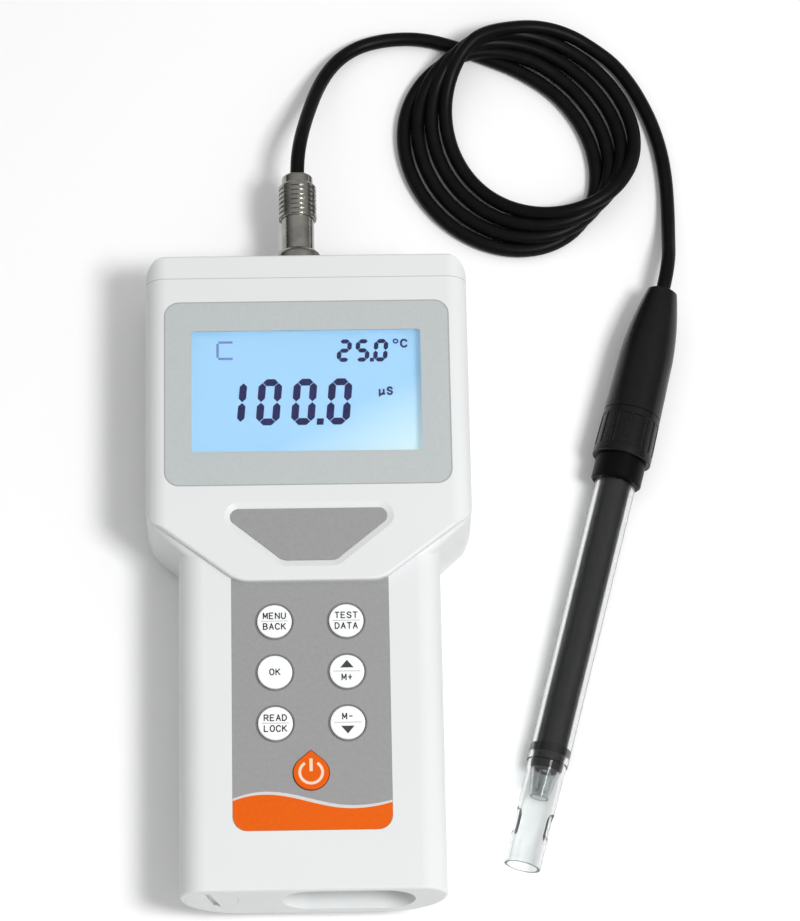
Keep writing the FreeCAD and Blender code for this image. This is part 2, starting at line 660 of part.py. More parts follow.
ribbon = new_body("board_ribbon")
ribbon_profile = body_sketch(ribbon, "Profile", "YZ_Plane", "6")
outline(ribbon_profile, [
    ("-13", "22.9"), ("13", "22.9"), ("19", "20.7"), ("25.8", "20.7"),
    ("25.8", "20.95"), ("19.05", "20.95"), ("13.05", "23.15"), ("-13", "23.15"),
])
feature(ribbon, "Pad", ribbon_profile, "12")

# ---------------------------------------------------------------- keypad

plate("keypad_label", label_outline("0.05"), "front_height - label_thick", "label_thick",
      drop_outline("drop_gap - 0.15"),
      *[(*key_place(side, row), "label_hole_radius") for _, side, row in KEYS])
plate("name_plate", PLATE, "plate_seat", "plate_thick")

for name, side, row in KEYS:
    key_x, key_y = key_place(side, row)
    key = turned(f"key_{name}", [
        ("0", "key_stem_low"), ("key_stem_radius", "key_stem_low"),
        ("key_stem_radius", "key_flange_low"), ("key_flange_radius", "key_flange_low"),
        ("key_flange_radius", "key_flange_top"), ("key_radius", "key_flange_top"),
        ("key_radius", "front_height + key_proud - key_edge", "key_edge"),
        ("key_radius - key_edge", "front_height + key_proud"), ("0", "front_height + key_proud"),
    ])
    key.setExpression("Placement.Base.x", bound(key_x))
    key.setExpression("Placement.Base.y", bound(key_y))

node("key_power", fuse(
    "PowerKey",
    round_edges("PowerTop", extrude("PowerBlank", drop_outline("0"), "key_flange_top",
                                    "front_height + key_proud"),
                lambda edge: (0.3, 0.3) if at_point(edge, z=size("front_height + key_proud")) else None),
    cylinder("PowerFlange", "z", "power_x", "power_y", "key_flange_low", "key_flange_radius + 0.8",
             "key_flange_top - key_flange_low"),
    cylinder("PowerStem", "z", "power_x", "power_y", "key_stem_low", "key_stem_radius",
             "key_flange_low - key_stem_low")))

# ---------------------------------------------------------------- battery bay


def battery_rod(name, start, radius, length):
    return cylinder(name, "y", "battery_x", start, "battery_z", radius, length)


node("battery_bushing", cut(
    "Bushing", common("BushBlank", case_form, battery_rod("BushRod", BOTTOM, "bush_radius", "end_block")),
    battery_rod("BushBore", f"{BOTTOM} - 1", "shank_bore", "end_block + 2"),
    battery_rod("BushSeat", f"{BOTTOM} - 1", "cap_bore", "cap_seat + 1")))

slot = box("CoinSlot", "-slot_width / 2", "slot_width / 2", "-1", "slot_depth", "-slot_length / 2",
           "slot_length / 2")
coin_slot = tool("Compound", "CoinSlotPlaced", Links=[slot])
coin_slot.Placement = Placement(Vector(size("battery_x"), size(BOTTOM), size("battery_z")),
                                Rotation(Vector(0, 1, 0), -size("slot_lean")))
node("battery_cap", cut(
    "BatteryCap", fuse("BatteryCapBlank", battery_rod("CapDisc", BOTTOM, "cap_radius", "cap_thick"),
                       battery_rod("CapShank", f"{BOTTOM} + 1", "shank_radius",
                                   f"shank_end - ({BOTTOM}) - 1")), coin_slot))
node("battery_cap_seal", cut(
    "CapSeal", battery_rod("CapSealRing", f"{BOTTOM} + cap_thick", "cap_radius", "cap_seat - cap_thick"),
    battery_rod("CapSealWay", f"{BOTTOM} - 1", "shank_radius", "end_block")))

spring = new_body("battery_spring")
spring_profile = body_sketch(spring, "Wire", "XZ_Plane")
circle(spring_profile, "spring_radius", "spring_wire", "spring_wire")
helix = spring.newObject("PartDesign::AdditiveHelix", "Coils")
helix.Profile = spring_profile
helix.ReferenceAxis = (spring_profile, ["V_Axis"])
helix.Mode = "pitch-height-angle"
helix.setExpression("Pitch", bound("3.2 * spring_wire"))
helix.setExpression("Height", bound("cell_start - shank_end - 2 * spring_wire"))
spring.Placement = Placement(point("battery_x", "shank_end", "battery_z"), ALONG["y"])

node("battery_tube", cut(
    "BatteryTube", battery_rod("BayRod", "-body_length / 2 + end_block", "bay_radius",
                               "bay_end + body_length / 2 - end_block"),
    battery_rod("BayBore", "-body_length / 2", "bay_bore", "bay_end - 1.5 + body_length / 2"),
    battery_rod("BayWireWay", "0", "1.2", "20")))
node("battery_cells", tool("Compound", "BatteryCells", Links=[
    fuse(f"Cell{i}", battery_rod(f"CellCan{i}", start, "cell_radius", "cell_length - 1"),
         battery_rod(f"CellStud{i}", f"{start} + 1", "1.9", "cell_length - 1"))
    for i, start in enumerate(("cell_start", "cell_start + cell_length"))]))
node("battery_contact", battery_rod("BatteryContact", "bay_end - 2.1", "cell_radius", "0.6"))

# ---------------------------------------------------------------- socket and plug


def on_socket(label, profile):
    """Part turned about the socket's axis: its profile's second coordinate is the place along Y."""
    return turned(label, profile, point("socket_x", "0", "socket_z"), ALONG["y"])


def socket_rod(name, x, z, start, radius, end):
    return cylinder(name, "y", f"socket_x + {x}", start, f"socket_z + {z}", radius,
                    f"({end}) - ({start})")


def ring(inner, outer, start, end):
    return [(inner, start), (outer, start), (outer, end), (inner, end)]


PINS = [(f"{a} * pin_spread", f"{b} * pin_spread") for a in (-1, 1) for b in (-1, 1)]

on_socket("socket_shell", [
    ("barrel_bore", "88"), ("thread_radius", "88"), ("thread_radius", f"{TOP} + 1"),
    ("flange_radius", f"{TOP} + 1"), ("flange_radius", "dome_start", "dome_round"),
    ("barrel_radius", "socket_face"), ("barrel_radius", "barrel_end"), ("barrel_bore", "barrel_end"),
])
on_socket("socket_seal", ring("thread_radius", "seal_radius", TOP, f"{TOP} + 1"))
nut_low, nut_flat = f"{TOP} - cap_wall - 3", "nut_radius * 0.8660254"
node("socket_nut", cut(
    "SocketNut", extrude("NutBlank", [
        ("socket_x - nut_radius / 2", f"socket_z - {nut_flat}"),
        ("socket_x + nut_radius / 2", f"socket_z - {nut_flat}"), ("socket_x + nut_radius", "socket_z"),
        ("socket_x + nut_radius / 2", f"socket_z + {nut_flat}"),
        ("socket_x - nut_radius / 2", f"socket_z + {nut_flat}"), ("socket_x - nut_radius", "socket_z"),
    ], nut_low, f"{TOP} - cap_wall", "xz"),
    socket_rod("NutBore", "0", "0", "80", "thread_radius", "100")))
node("socket_insulator", cut(
    "SocketInsulator", socket_rod("InsulatorRod", "0", "0", "91", "barrel_bore", "socket_face"),
    *[socket_rod(f"PinSeat{i}", x, z, "90", "pin_radius", "socket_face + 1")
      for i, (x, z) in enumerate(PINS)]))
node("socket_contacts", tool("Compound", "SocketContacts", Links=[
    socket_rod(f"Contact{i}", x, z, "89", "pin_radius", "socket_face + 6")
    for i, (x, z) in enumerate(PINS)]))

on_socket("plug_body", [
    ("3.6", "104.5"), ("4.03", "104.5"), ("4.03", "120"), ("4.75", "120"), ("4.75", "sleeve_back - 2"),
    ("3.6", "sleeve_back - 2"),
])
on_socket("plug_sleeve", [
    ("sleeve_bore", "sleeve_front + 0.6"), ("sleeve_bore + 0.4", "sleeve_front"),
    ("sleeve_radius - 0.2", "sleeve_front"), ("sleeve_radius", "sleeve_front + 0.2"),
    ("sleeve_radius", "sleeve_back - 1.5", "2.2"), ("sleeve_bore", "sleeve_back"),
])
on_socket("plug_nut", [
    ("0.8", "sleeve_back - 2"), ("4.6", "sleeve_back - 2"), ("4.6", "plug_back - 0.8", "0.8"),
    ("3.8", "plug_back"), ("0.8", "plug_back"),
])
node("plug_insulator", cut(
    "PlugInsulator", socket_rod("PlugRod", "0", "0", "105", "3.6", "120"),
    *[socket_rod(f"PlugWay{i}", x, z, "104", "pin_sleeve_radius", "121")
      for i, (x, z) in enumerate(PINS)]))
node("plug_pins", tool("Compound", "PlugPins", Links=[
    cut(f"PinSleeve{i}", socket_rod(f"PinSleeveRod{i}", x, z, "105", "pin_sleeve_radius", "120"),
        socket_rod(f"PinSleeveBore{i}", x, z, "104", "pin_sleeve_bore", "112"))
    for i, (x, z) in enumerate(PINS)]))

# ---------------------------------------------------------------- leads and wires


def lead(route, diameter):
    """Solid tube along straight runs joined by the largest arcs that the runs allow."""
    edges = []
    radii = []
    start = route[0]
    for before, corner, after in zip(route, route[1:], route[2:]):
        back, ahead = before - corner, after - corner
        half_turn = (math.pi - back.getAngle(ahead)) / 2
        reach = 0.45 * min(back.Length, ahead.Length)
        radii.append(reach / math.tan(half_turn))
        first = corner + Vector(back).normalize() * reach
        last = corner + Vector(ahead).normalize() * reach
        inward = (Vector(back).normalize() + Vector(ahead).normalize()).normalize()
        depth = radii[-1] / math.cos(half_turn) - radii[-1]
        edges.append(Part.LineSegment(start, first).toShape())
        edges.append(Part.Arc(first, corner + inward * depth, last).toShape())
        start = last
    edges.append(Part.LineSegment(start, route[-1]).toShape())
    path = Part.Wire(edges)
    way = route[1] - route[0]
    section = Part.Wire(Part.makeCircle(diameter / 2, route[0], way))
    solid = path.makePipeShell([section], True, True)
    expected = math.pi * diameter ** 2 / 4 * path.Length
    if abs(solid.Volume / expected - 1) > 0.01:
        raise RuntimeError(f"tube volume {solid.Volume:.1f} differs from {expected:.1f}")
    return solid, radii, path.Length


def lead_node(label, route, diameter_name):
    item = doc.addObject("Part::Feature", label)
    solid, radii, length = lead([Vector(*place) for place in route], size(diameter_name))
    item.Shape = solid
    print(f"{label}: {length:.0f} mm, radii", " ".join(f"{radius:.0f}" for radius in radii))
    return node(label, item)


def wires(label, diameter, *routes):
    """Thin insulated wires inside the case, one solid each."""
    item = doc.addObject("Part::Feature", label)
    item.Shape = Part.Compound([lead([Vector(*p) for p in route], diameter)[0] for route in routes])
    return node(label, item)


LEAD_IN = [
    (-2.2, 128.3, 18.5), (-2.2, 133.2, 18.5), (-1.2, 141.6, 17.0), (1.2, 152.9, 12.0),
    (4.7, 165.0, 6.9), (9.5, 174.0, 3.8), (16.0, 179.6, 2.6), (23.7, 182.2, 2.2),
    (31.9, 182.9, 2.15), (38.9, 182.1, 2.15), (46.1, 179.9, 2.15), (52.7, 177.2, 2.15),
    (58.5, 174.9, 2.15),
]
LEAD_OUT = [
    (95.0, 173.3, 2.3), (100.0, 166.1, 2.2), (103.5, 159.0, 2.15), (106.2, 151.9, 2.15),
    (108.3, 143.5, 2.15), (109.4, 134.5, 2.2), (109.6, 124.4, 2.5), (109.2, 113.6, 4.9),
    (108.5, 102.0, 10.52), (106.2, 93.3, 10.28),
]
wires("battery_wires", 1.4,
      [(-28.4, 9.5, 21.8), (-28.4, 14.0, 21.8), (-27.6, 19.5, 20.3), (-27.2, 23.9, 19.8)],
      [(-20.9, -83.8, 18.0), (-20.9, -60.0, 17.9), (-20.7, -20.0, 18.1), (-20.4, 10.0, 18.4),
       (-20.2, 23.9, 19.8)])
wires("socket_wires", 0.9, *[
    [(size("socket_x") + a * 1.6, 88.95, size("socket_z") + b * 1.6),
     (size("socket_x") + a * 1.8, 86.8, size("socket_z") + b * 1.6),
     (a * 2.2 + b * 1.2 - 2.2, 82.3, 19.8)]
    for a in (-1, 1) for b in (-1, 1)])
lead_node("cable_lead_in", LEAD_IN, "cable_diameter")
lead_node("cable_lead_out", LEAD_OUT, "cable_diameter")

coil_turn = Rotation(Vector(0, 0, 1), size("coil_way"))
long_side = Rotation(Vector(0, 0, 1), 90)


def coil_post(name, turn, grow, low, height):
    """Elliptical post on the middle of one turn: the turns creep along their ellipse's short side."""
    edge = tool("Ellipse", f"{name}Edge")
    edge.setExpression("MajorRadius", bound(f"coil_long + {grow}"))
    edge.setExpression("MinorRadius", bound(f"coil_short + {grow}"))
    middle = point("coil_x", "coil_y", low) + coil_turn.multVec(point(f"{turn} * coil_creep", "0", "0"))
    edge.Placement = Placement(middle, coil_turn * long_side)
    post = tool("Extrusion", name, Base=edge, Solid=True, DirMode="Custom", Dir=Vector(0, 0, 1))
    post.setExpression("LengthFwd", bound(height))
    return post


coil_form = fuse("CoilForm", *[
    coil_post(f"CoilTurn{turn}", turn, "cable_diameter / 2 + 0.4", "0", "coil_height")
    for turn in range(4)])
coil_middle = common(
    "CoilMiddle", coil_post("CoilNear", 0, "(-3)", "-1", "coil_height + 2"),
    coil_post("CoilFar", 3, "(-3)", "-1", "coil_height + 2"))
saddle = cylinder("Saddle", "x", "coil_x", "coil_y", "saddle_low + saddle_radius", "saddle_radius",
                  "saddle_length")
for key in ("x", "y", "z"):
    saddle.setExpression(f"Placement.Base.{key}", None)
saddle_start = coil_turn.multVec(point("1.5 * coil_creep - saddle_length / 2", "0", "0"))
saddle.Placement = Placement(point("coil_x", "coil_y", "saddle_low + saddle_radius") + saddle_start,
                             coil_turn * ALONG["x"])
node("cable_coil", cut("CableCoil", coil_form, coil_middle, saddle))

# ---------------------------------------------------------------- probe

lean = math.atan2(size("probe_cap_rim - tip_end_radius"), size("tip_end - probe_cap_end"))
probe_height = size("probe_cap_rim") * math.cos(lean) + size("probe_cap_end") * math.sin(lean)
probe_turn = (Rotation(Vector(0, 0, 1), -size("probe_yaw"))
              * Rotation(Vector(1, 0, 0), 90 + math.degrees(lean)))
PROBE = Placement(Vector(size("probe_x"), size("probe_y"), probe_height), probe_turn)


def on_probe(label, profile):
    """Part turned about the probe's axis: heights run from the cap's top to the tip."""
    return turned(label, profile, PROBE.Base, PROBE.Rotation)


on_probe("probe_cap", [
    ("0", "0"), ("probe_cap_top", "0", "148"), ("probe_cap_flare", "flare_end"),
    ("probe_cap_rim", "probe_cap_end"), ("spigot_radius + 0.04", "probe_cap_end"),
    ("spigot_radius + 0.04", "core_start"), ("0", "core_start"),
])
on_probe("probe_collar", [
    ("spigot_radius + 0.04", "probe_cap_end"), ("collar_radius", "probe_cap_end"),
    ("collar_radius", "collar_end - 0.6"), ("collar_radius - 0.6", "collar_end"),
    ("spigot_radius + 0.04", "collar_end"),
])
on_probe("probe_tube", [
    ("tube_inner", "tube_start"), ("spigot_radius", "tube_start"), ("spigot_radius", "collar_end"),
    ("tube_outer", "collar_end"), ("tube_outer", "tube_end"), ("tube_inner", "tube_end"),
])
on_probe("probe_core", [
    ("0", "core_start"), ("core_radius", "core_start"), ("core_radius", "core_end - 0.3"),
    ("core_radius - 0.3", "core_end"), ("1.25", "core_end"), ("1.25", "core_end - 6"),
    ("0", "core_end - 6"),
])
on_probe("temperature_sensor", ring("0", "1.2", "core_end - 5.9", "core_end"))
on_probe("probe_seal", ring("core_radius", "tube_inner", "tube_end - 5", "tube_end - 2.5"))
on_probe("cell_glass", [
    ("3.5", "core_end"), ("4", "core_end"), ("2.8", "core_end + 8.2"), ("2.3", "core_end + 8.2"),
])

tip = new_body("probe_tip")
tip_profile = body_sketch(tip, "Profile", "XZ_Plane")
outline(tip_profile, [
    ("tube_inner", "tube_end"), ("tip_start_radius", "tube_end"), ("tip_end_radius", "tip_end"),
    ("tip_bore", "tip_end"), ("tip_bore", "tube_end + 3"),
])
feature(tip, "Revolution", tip_profile, ReferenceAxis=(tip_profile, ["V_Axis"]), Angle=360)
vent_profile = body_sketch(tip, "Vent", "YZ_Plane")
vent_side, vent_reach = "(vent_width / 2)", "(vent_length / 2 - vent_width / 2)"
outline(vent_profile, [
    (vent_side, f"vent_place - {vent_reach}"), (vent_side, f"vent_place + {vent_reach}", vent_side),
    ("0", f"vent_place + {vent_reach} + {vent_side}", vent_side),
    (f"-{vent_side}", f"vent_place + {vent_reach}"),
    (f"-{vent_side}", f"vent_place - {vent_reach}", vent_side),
    ("0", f"vent_place - {vent_reach} - {vent_side}", vent_side),
])
feature(tip, "Pocket", vent_profile, Type="ThroughAll", Midplane=True)
tip.Placement = PROBE

cell_plates = tool("Compound", "CellPlates", Links=[
    box("PlateNear", "-1.7", "-1.2", "-1.5", "1.5", "core_end + 1.5", "core_end + 6"),
    box("PlateFar", "1.2", "1.7", "-1.5", "1.5", "core_end + 1.5", "core_end + 6")])
cell_plates.Placement = PROBE
node("cell_plates", cell_plates)
cell_leads = tool("Compound", "CellLeads", Links=[
    cylinder("CellLeadNear", "z", "-1.45", "0", "core_end", "0.25", "1.5"),
    cylinder("CellLeadFar", "z", "1.45", "0", "core_end", "0.25", "1.5")])
cell_leads.Placement = PROBE
node("cell_leads", cell_leads)

# ---------------------------------------------------------------- check and write

doc.recompute()
for item in doc.Objects:
    if any(state in ("Invalid", "Error") for state in item.State):
        raise RuntimeError(f"{item.Label} did not compute")
    if hasattr(item, "Shape") and (item.Shape.isNull() or not item.Shape.isValid()):
        raise RuntimeError(f"{item.Label} has no valid shape")

os.makedirs("parts", exist_ok=True)
for label, item in nodes.items():
    item.Shape.exportStep(f"parts/{label}.step")
print(len(nodes), "sub-parts written")
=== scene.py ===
"""Looks of a handheld water quality meter with its plug-in lead and cell probe.

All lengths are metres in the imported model's frame: the origin is the middle of the meter's flat
back, +Z points out of its face and +Y towards its socket end.
"""

import json
import math

import bmesh
import bpy
from mathutils import Matrix, Quaternion, Vector


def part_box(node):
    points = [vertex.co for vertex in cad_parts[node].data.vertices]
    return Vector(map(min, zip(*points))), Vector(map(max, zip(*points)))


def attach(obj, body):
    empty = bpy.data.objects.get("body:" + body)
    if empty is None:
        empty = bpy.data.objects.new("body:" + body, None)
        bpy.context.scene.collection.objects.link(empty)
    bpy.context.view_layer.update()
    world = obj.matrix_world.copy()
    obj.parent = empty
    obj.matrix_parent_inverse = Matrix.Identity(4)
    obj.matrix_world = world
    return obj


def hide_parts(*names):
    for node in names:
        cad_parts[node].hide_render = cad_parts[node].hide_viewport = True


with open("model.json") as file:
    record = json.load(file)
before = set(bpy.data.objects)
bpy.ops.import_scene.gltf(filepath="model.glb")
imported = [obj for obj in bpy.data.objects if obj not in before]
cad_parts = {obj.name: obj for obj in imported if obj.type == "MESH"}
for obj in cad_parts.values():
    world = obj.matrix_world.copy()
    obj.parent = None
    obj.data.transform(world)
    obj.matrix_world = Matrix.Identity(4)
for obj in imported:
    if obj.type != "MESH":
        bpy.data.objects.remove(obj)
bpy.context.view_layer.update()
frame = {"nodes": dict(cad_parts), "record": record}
nodes = frame["nodes"]

TURN = 2 * math.pi


# ---------------------------------------------------------------- camera

def make_camera():
    """Camera above the battery end, looking down at the meter, a little turned and rolled."""
    yaw, elevation, roll = (math.radians(angle) for angle in (-3.094, 68, 2.131))
    target = Vector((0.02714, 0.04427, 0))
    distance = 1.343
    back = Vector((math.sin(yaw) * math.cos(elevation),
                   -math.cos(yaw) * math.cos(elevation), math.sin(elevation)))
    level = Vector((math.cos(yaw), math.sin(yaw), 0))
    climb = back.cross(level)
    right = math.cos(roll) * level + math.sin(roll) * climb
    top = math.cos(roll) * climb - math.sin(roll) * level
    data = bpy.data.cameras.new("camera")
    data.sensor_width = 36
    data.lens = 177.47
    camera = bpy.data.objects.new("camera", data)
    place = Matrix((right, top, back)).transposed().to_4x4()
    place.translation = target + distance * back
    camera.matrix_world = place
    bpy.context.scene.collection.objects.link(camera)
    bpy.context.scene.camera = camera


make_camera()


# ---------------------------------------------------------------- the lead

CABLE = 0.0042
LEAD_IN = [
    (-0.0022, 0.1283, 0.0185), (-0.0022, 0.1332, 0.0185), (-0.0012, 0.1416, 0.0170),
    (0.0012, 0.1529, 0.0120), (0.0047, 0.1650, 0.0069), (0.0095, 0.1740, 0.0038),
    (0.0160, 0.1796, 0.0026), (0.0237, 0.1822, 0.0022), (0.0319, 0.1829, 0.00215),
    (0.0389, 0.1821, 0.00215), (0.0461, 0.1799, 0.00215), (0.0527, 0.1772, 0.00215),
    (0.0590, 0.1746, 0.00215), (0.0662, 0.1712, 0.00215),
]
LEAD_OUT = [
    (0.0665, 0.1833, 0.0088), (0.0745, 0.1836, 0.0070), (0.0820, 0.1819, 0.0050),
    (0.0886, 0.1783, 0.0032), (0.0950, 0.1733, 0.0024),
    (0.1000, 0.1661, 0.0022), (0.1035, 0.1590, 0.00215), (0.1062, 0.1519, 0.00215),
    (0.1083, 0.1435, 0.00215), (0.1094, 0.1345, 0.0022), (0.1096, 0.1244, 0.0025),
    (0.1092, 0.1136, 0.0049), (0.1085, 0.1020, 0.01052), (0.1062, 0.0933, 0.01028),
]
COIL_MIDDLE = Vector((0.05678, 0.14169))
COIL_WAY = math.radians(34.48)
COIL_CREEP = 0.00497
COIL_LONG, COIL_SHORT = 0.03456, 0.02829
COIL_SHRINK = 0.00052
# Angles in degrees round the coil, anticlockwise from +X: where it starts, ends and steps, and
# the one at which the turns are counted.
COIL_FIRST, COIL_LAST, COIL_STEP = 50, -1330, 15
CROSSING = 120
COIL_FLOOR = 0.00215
# A turn on top of another lies this share of the lead's thickness above it.
SINK = 0.62
# The stretch of the incoming lead that the later turns climb over, and how far away they begin to.
LEAD_LINE = (Vector((0.0389, 0.1821)), Vector((0.0662, 0.1712)))
CLIMB_WIDE = 0.010
CLIMB_FROM_TURN = 0.9
QUARTER_TURN = 0.25


def distance_to_line(spot, line):
    """How far a plan point is from a straight stretch of the lead."""
    start, end = line
    along = end - start
    share = max(0.0, min(1.0, (spot - start).dot(along) / along.length_squared))
    return (spot - start - share * along).length


def coil_turns():
    """The coil's turns, clockwise from above. Each is an ellipse that has crept along its short
    side from the last one, so that the turns lie side by side there, and on top of each other at
    the ends of the long side. They pass over the lead that comes in."""
    creep = Vector((math.cos(COIL_WAY), math.sin(COIL_WAY)))
    across = Vector((-creep.y, creep.x))
    points = []
    for angle in range(COIL_FIRST, COIL_LAST, -COIL_STEP):
        turn = (CROSSING - angle) / 360
        way = math.radians(angle) - COIL_WAY
        short = COIL_SHORT * math.cos(way)
        spot = COIL_MIDDLE + (turn * COIL_CREEP + short) * creep
        spot += (COIL_LONG - COIL_SHRINK * turn) * math.sin(way) * across
        layer = max(0, math.floor(turn - QUARTER_TURN))
        height = COIL_FLOOR + SINK * CABLE * layer * math.sin(way) ** 2
        if turn > CLIMB_FROM_TURN:
            nearness = math.exp(-(distance_to_line(spot, LEAD_LINE) / CLIMB_WIDE) ** 2)
            height += SINK * CABLE * nearness
        points.append((spot.x, spot.y, height))
    return points


def smooth_line(name, points):
    """A curve object whose one spline runs smoothly past its control points."""
    curve = bpy.data.curves.new(name, "CURVE")
    curve.dimensions = "3D"
    spline = curve.splines.new("NURBS")
    spline.points.add(len(points) - 1)
    for control, place in zip(spline.points, points):
        control.co = (*place, 1)
        control.radius = CABLE / 2
    spline.order_u = 3
    spline.use_endpoint_u = True
    spline.resolution_u = 8
    thing = bpy.data.objects.new(name, curve)
    bpy.context.scene.collection.objects.link(thing)
    return thing


cable = smooth_line("cable", LEAD_IN + coil_turns() + LEAD_OUT)
cable.data.bevel_depth = 1.0
cable.data.bevel_resolution = 6
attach(cable, "probe_lead")
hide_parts("cable_lead_in", "cable_coil", "cable_lead_out")


# ---------------------------------------------------------------- materials

def linear(red, green, blue):
    """A colour given as it looks on a screen, 0 to 255, in linear light."""
    return tuple((c / 255 / 12.92 if c <= 10 else ((c / 255 + 0.055) / 1.055) ** 2.4)
                 for c in (red, green, blue)) + (1.0,)


class Finish:
    """Short calls that build the nodes of one material."""

    def __init__(self, name, **values):
        self.material = bpy.data.materials.new(name)
        self.material.use_nodes = True
        self.tree = self.material.node_tree
        self.shader = self.tree.nodes["Principled BSDF"]
        self.output = self.tree.nodes["Material Output"]
        self.place = self.tree.nodes.new("ShaderNodeTexCoord").outputs["Object"]
        for key, value in values.items():
            socket = key.replace("_", " ").title().replace("Ior", "IOR")
            self.shader.inputs[socket].default_value = value

    def add(self, kind, inputs=(), **settings):
        made = self.tree.nodes.new(kind)
        for key, value in settings.items():
            setattr(made, key, value)
        for key, value in dict(inputs).items():
            if isinstance(value, bpy.types.NodeSocket):
                self.tree.links.new(value, made.inputs[key])
            else:
                made.inputs[key].default_value = value
        return made

    def feed(self, key, socket):
        self.tree.links.new(socket, self.shader.inputs[key])

    def stretched(self, scale, turn=(0, 0, 0)):
        """The place, scaled by different amounts along the axes after a turn."""
        return self.add("ShaderNodeMapping", {"Vector": self.place, "Scale": scale,
                                              "Rotation": turn}).outputs["Vector"]

    def noise(self, scale, detail=3.0, place=None):
        return self.add("ShaderNodeTexNoise", {"Vector": place or self.place, "Scale": scale,
                                               "Detail": detail}).outputs["Fac"]

    def between(self, factor, low, high, start=0.3, end=0.7):
        """A number that goes from low to high as factor goes from start to end."""
        return self.add("ShaderNodeMapRange", {
            "Value": factor, "From Min": start, "From Max": end, "To Min": low,
            "To Max": high}).outputs["Result"]

    def blend(self, factor, first, second):
        """A colour that goes from first to second with factor."""
        made = self.add("ShaderNodeMix", {"Factor": factor}, data_type="RGBA")
        for socket, value in ((made.inputs[6], first), (made.inputs[7], second)):
            if isinstance(value, bpy.types.NodeSocket):
                self.tree.links.new(value, socket)
            else:
                socket.default_value = value
        return made.outputs[2]

    def maths(self, operation, *values):
        return self.add("ShaderNodeMath", dict(enumerate(values)), operation=operation).outputs[0]

    def bump(self, height, distance, strength=1.0):
        made = self.add("ShaderNodeBump", {"Height": height, "Distance": distance,
                                           "Strength": strength})
        self.feed("Normal", made.outputs["Normal"])

    def pass_light(self, tint):
        """Lets lamps shine through, tinted, so that what is inside is lit."""
        path = self.add("ShaderNodeLightPath").outputs["Is Shadow Ray"]
        clear = self.add("ShaderNodeBsdfTransparent", {"Color": tint}).outputs["BSDF"]
        mixed = self.add("ShaderNodeMixShader",
                         {0: path, 1: self.shader.outputs["BSDF"], 2: clear})
        self.tree.links.new(mixed.outputs["Shader"], self.output.inputs["Surface"])


def moulded(name, colour, shade, rough, grain=2600.0, depth=0.000012, shine=0.3):
    """Moulded plastic: a slightly uneven colour and gloss over a fine spark-eroded grain."""
    made = Finish(name, specular_ior_level=shine)
    made.feed("Base Color", made.blend(made.between(made.noise(18), 0, 1), colour, shade))
    made.feed("Roughness", made.between(made.noise(55), rough - 0.04, rough + 0.06))
    made.bump(made.noise(grain, 2), depth)
    return made.material


def seamed(name, colour, shade, rough):
    """Case plastic with the thin shadow line where the top cap meets the shells."""
    made = Finish(name, specular_ior_level=0.3)
    along = made.add("ShaderNodeSeparateXYZ", {"Vector": made.place}).outputs["Y"]
    away = made.maths("ABSOLUTE", made.maths("SUBTRACT", along, CAP_SEAM))
    line = made.between(away, 1, 0, SEAM_HALF / 2, SEAM_HALF)
    plain = made.blend(made.between(made.noise(18), 0, 1), colour, shade)
    made.feed("Base Color", made.blend(line, plain, SEAM_SHADE))
    made.feed("Roughness", made.between(made.noise(55), rough - 0.04, rough + 0.06))
    made.bump(made.noise(2600, 2), 0.000012)
    return made.material


def printed(name, colour, shade, rough, shine=0.3):
    """Screen-printed film: a velvet texture and the faint mottling of the ink."""
    made = Finish(name, specular_ior_level=shine)
    made.feed("Base Color", made.blend(made.between(made.noise(900, 2), 0, 1), colour, shade))
    made.feed("Roughness", made.between(made.noise(120), rough - 0.05, rough + 0.05))
    made.bump(made.noise(4200, 2), 0.000008)
    return made.material


def rubber(name, colour, shade, rough, shine=0.1):
    """Soft rubber or jacket: a dull skin with a fine grain and a little dust."""
    made = Finish(name, specular_ior_level=shine)
    made.feed("Base Color", made.blend(made.between(made.noise(260, 4), 0, 1), colour, shade))
    made.feed("Roughness", made.between(made.noise(90), rough - 0.05, rough + 0.07))
    made.bump(made.noise(1500, 3), 0.00003)
    return made.material


def turned_metal(name, colour, shade, rough, axis_scale=(60, 5200, 60)):
    """Turned and plated metal: fine rings round the Y axis and a worn, uneven tone."""
    made = Finish(name, metallic=1.0)
    rings = made.noise(1.0, 2, made.stretched(axis_scale))
    made.feed("Base Color", made.blend(made.between(made.noise(240, 4), 0, 1), colour, shade))
    made.feed("Roughness", made.between(rings, rough - 0.06, rough + 0.1))
    made.bump(rings, 0.000012)
    return made.material


def clear_case(name, tint, rough, ior):
    """Clear plastic or glass with faint moulding waves, which lamps shine through."""
    made = Finish(name, base_color=tint, transmission_weight=1.0, ior=ior)
    made.feed("Roughness", made.between(made.noise(70), rough, rough + 0.04))
    made.bump(made.noise(150, 1), 0.00001)
    made.pass_light(tint)
    return made.material


def backlit(name):
    """The display's glass: blue, lit from behind, with a painted sheen of the lamp that brightens
    it towards its lower right corner.
    """
    made = Finish(name, roughness=0.35)
    # Painted sheen: the brightening towards the lower right stands in for the lamp's light on the
    # glass. It goes into the base colour and the glow alike.
    rightward, downward, level, mottle = 15.0, -26.0, 0.25, 0.12
    split = made.add("ShaderNodeSeparateXYZ", {"Vector": made.place})
    across = made.maths("MULTIPLY_ADD", split.outputs["X"], rightward, level)
    slope = made.maths("MULTIPLY_ADD", split.outputs["Y"], downward, 1.19)
    painted_sheen = made.maths("ADD", across, slope)
    painted_sheen = made.maths("MULTIPLY_ADD", made.noise(45), mottle, painted_sheen)
    tone = made.blend(made.between(painted_sheen, 0, 1, 0.42, 1.05), linear(163, 213, 250),
                      linear(219, 248, 255))
    darkening, own_light = 0.72, 0.56
    made.feed("Base Color", made.blend(darkening, tone, (0, 0, 0, 1)))
    made.feed("Emission Color", tone)
    made.shader.inputs["Emission Strength"].default_value = own_light
    return made.material


